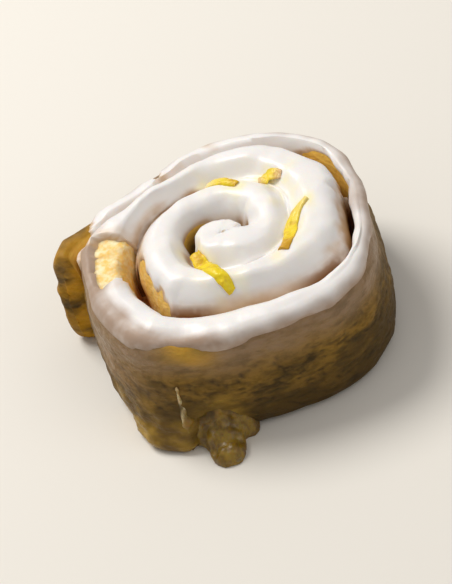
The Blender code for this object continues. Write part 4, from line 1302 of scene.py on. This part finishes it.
class ROLL_OT_sugar(bpy.types.Operator):
    """Makes the runs of baked sugar at the front left"""

    bl_idname = "lemon_roll.sugar"
    bl_label = "Baked sugar"

    def execute(self, context):
        shape = bmesh.new()
        for heading, sideways, cuts in SUGAR_RUNS:
            run_body(shape, heading, sideways, cuts)
        bmesh.ops.recalc_face_normals(shape, faces=shape.faces)
        mesh = bpy.data.meshes.new("roll_sugar")
        shape.to_mesh(mesh)
        shape.free()
        piece = bpy.data.objects.new("roll_sugar", mesh)
        context.scene.collection.objects.link(piece)
        remesh = piece.modifiers.new("fuse", "REMESH")
        remesh.mode = "VOXEL"
        remesh.voxel_size = RUN_GRAIN
        smooth = piece.modifiers.new("soften", "SMOOTH")
        smooth.factor = 0.5
        smooth.iterations = 6
        with context.temp_override(object=piece, active_object=piece):
            bpy.ops.object.modifier_apply(modifier=remesh.name)
            bpy.ops.object.modifier_apply(modifier=smooth.name)
        mesh = piece.data
        points = np.array([vertex.co for vertex in mesh.vertices])
        normals = np.array([vertex.normal for vertex in mesh.vertices])
        grounded = smooth_step(points[:, 2], 0.3 * MM, 2.0 * MM)
        swell = 1.1 * MM * field(points, 5.0 * MM, 61) + 0.7 * MM * field(points, 2.6 * MM, 62)
        points = warp(points + normals * (swell * grounded)[:, None])
        points[:, 2] = np.maximum(points[:, 2], 0.05 * MM)
        mesh.vertices.foreach_set("co", points.ravel())
        mesh.shade_smooth()
        # A painted highlight: a pale line down the strand, from 9 mm up
        away = plan_polar(points)[0] - STRAND_HIGHLIGHT_ANGLE + 1.3 * field(points, 6.0 * MM, 73)
        strand_highlight = near(away, 0.0, 0.8) * smooth_step(points[:, 2], 9.0 * MM, 13.0 * MM)
        high = smooth_step(points[:, 2], 7.0 * MM, 14.0 * MM) * (1.0 - strand_highlight)
        for name, values in (("high", high), ("strand_highlight", strand_highlight)):
            mesh.attributes.new(name, "FLOAT", "POINT").data.foreach_set("value", values.astype(np.float32))
        finish_piece(piece, "sugar", sugar_material(context.scene.roll_trim, context.scene.roll_crust))
        return {"FINISHED"}


LOOKED_AT = (-4.0 * MM, -4.0 * MM, 22.0 * MM)
FLOOR_SIZE = 3.0


class ROLL_OT_stage(bpy.types.Operator):
    """Sets the floor, the soft studio light and the camera"""

    bl_idname = "lemon_roll.stage"
    bl_label = "Stage"

    def execute(self, context):
        settings, scene = context.scene.roll_stage, context.scene
        shape = bmesh.new()
        bmesh.ops.create_grid(shape, x_segments=1, y_segments=1, size=FLOOR_SIZE)
        mesh = bpy.data.meshes.new("floor")
        shape.to_mesh(mesh)
        shape.free()
        floor = bpy.data.objects.new("floor", mesh)
        scene.collection.objects.link(floor)
        shader = Shader("floor", 0.7)
        shader.main.inputs["Base Color"].default_value = (*settings.floor, 1.0)
        mesh.materials.append(shader.material)

        world = bpy.data.worlds.new("studio")
        world.use_nodes = True
        world.node_tree.nodes["Background"].inputs["Color"].default_value = (1.0, 0.98, 0.955, 1.0)
        world.node_tree.nodes["Background"].inputs["Strength"].default_value = settings.sky
        scene.world = world
        scene.view_settings.view_transform = "Standard"

        lights = (
            ("key", (-0.45, 0.50, 1.0), 0.62, settings.key, (1.0, 0.98, 0.95)),
            ("fill", (0.75, -0.55, 0.75), 0.9, settings.fill, (1.0, 0.98, 0.97)),
        )
        for name, place, size, power, tint in lights:
            lamp = bpy.data.lights.new(name, "AREA")
            lamp.shape = "DISK"
            lamp.size, lamp.energy, lamp.color = size, power, tint
            holder = bpy.data.objects.new(name, lamp)
            holder.location = place
            holder.rotation_euler = (-Vector(place)).to_track_quat("-Z", "Y").to_euler()
            scene.collection.objects.link(holder)

        camera = bpy.data.cameras.new("camera")
        holder = bpy.data.objects.new("camera", camera)
        scene.collection.objects.link(holder)
        rise = math.radians(settings.elevation)
        back = Vector((0.0, -math.cos(rise), math.sin(rise)))
        holder.location = Vector(LOOKED_AT) + back * settings.distance
        holder.rotation_euler = (math.pi / 2.0 - rise, 0.0, 0.0)
        holder.rotation_euler.rotate_axis("Z", -math.radians(settings.roll))
        camera.lens = camera.sensor_width * settings.distance / settings.view_height
        camera.clip_start = 0.05
        scene.camera = holder
        return {"FINISHED"}


class ROLL_PT_panel(bpy.types.Panel):
    """Lists the pieces in the sidebar"""

    bl_idname = "ROLL_PT_panel"
    bl_label = "Iced lemon roll"
    bl_space_type = "VIEW_3D"
    bl_region_type = "UI"
    bl_category = "Lemon roll"

    def draw(self, context):
        for operator in OPERATORS:
            self.layout.operator(operator.bl_idname)
        for group in SETTINGS:
            settings = getattr(context.scene, group)
            box = self.layout.box()
            for name in settings.__annotations__:
                box.prop(settings, name)


SETTINGS = {
    "roll_coil": CoilSizes,
    "roll_icing": IcingSizes,
    "roll_crust": CrustColours,
    "roll_trim": TrimColours,
    "roll_stage": StageSettings,
}
OPERATORS = (ROLL_OT_dough, ROLL_OT_icing, ROLL_OT_zest, ROLL_OT_sugar, ROLL_OT_stage)


def register():
    for group in SETTINGS.values():
        bpy.utils.register_class(group)
    for name, group in SETTINGS.items():
        setattr(bpy.types.Scene, name, PointerProperty(type=group))
    for made in OPERATORS + (ROLL_PT_panel,):
        bpy.utils.register_class(made)


def unregister():
    for made in reversed(OPERATORS + (ROLL_PT_panel,)):
        bpy.utils.unregister_class(made)
    for name in SETTINGS:
        delattr(bpy.types.Scene, name)
    for group in SETTINGS.values():
        bpy.utils.unregister_class(group)


def main():
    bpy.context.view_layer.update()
    register()
    bpy.ops.lemon_roll.dough()
    bpy.ops.lemon_roll.icing()
    bpy.ops.lemon_roll.zest()
    bpy.ops.lemon_roll.sugar()
    bpy.ops.lemon_roll.stage()
    bpy.context.view_layer.update()


if __name__ == "__main__":
    main()
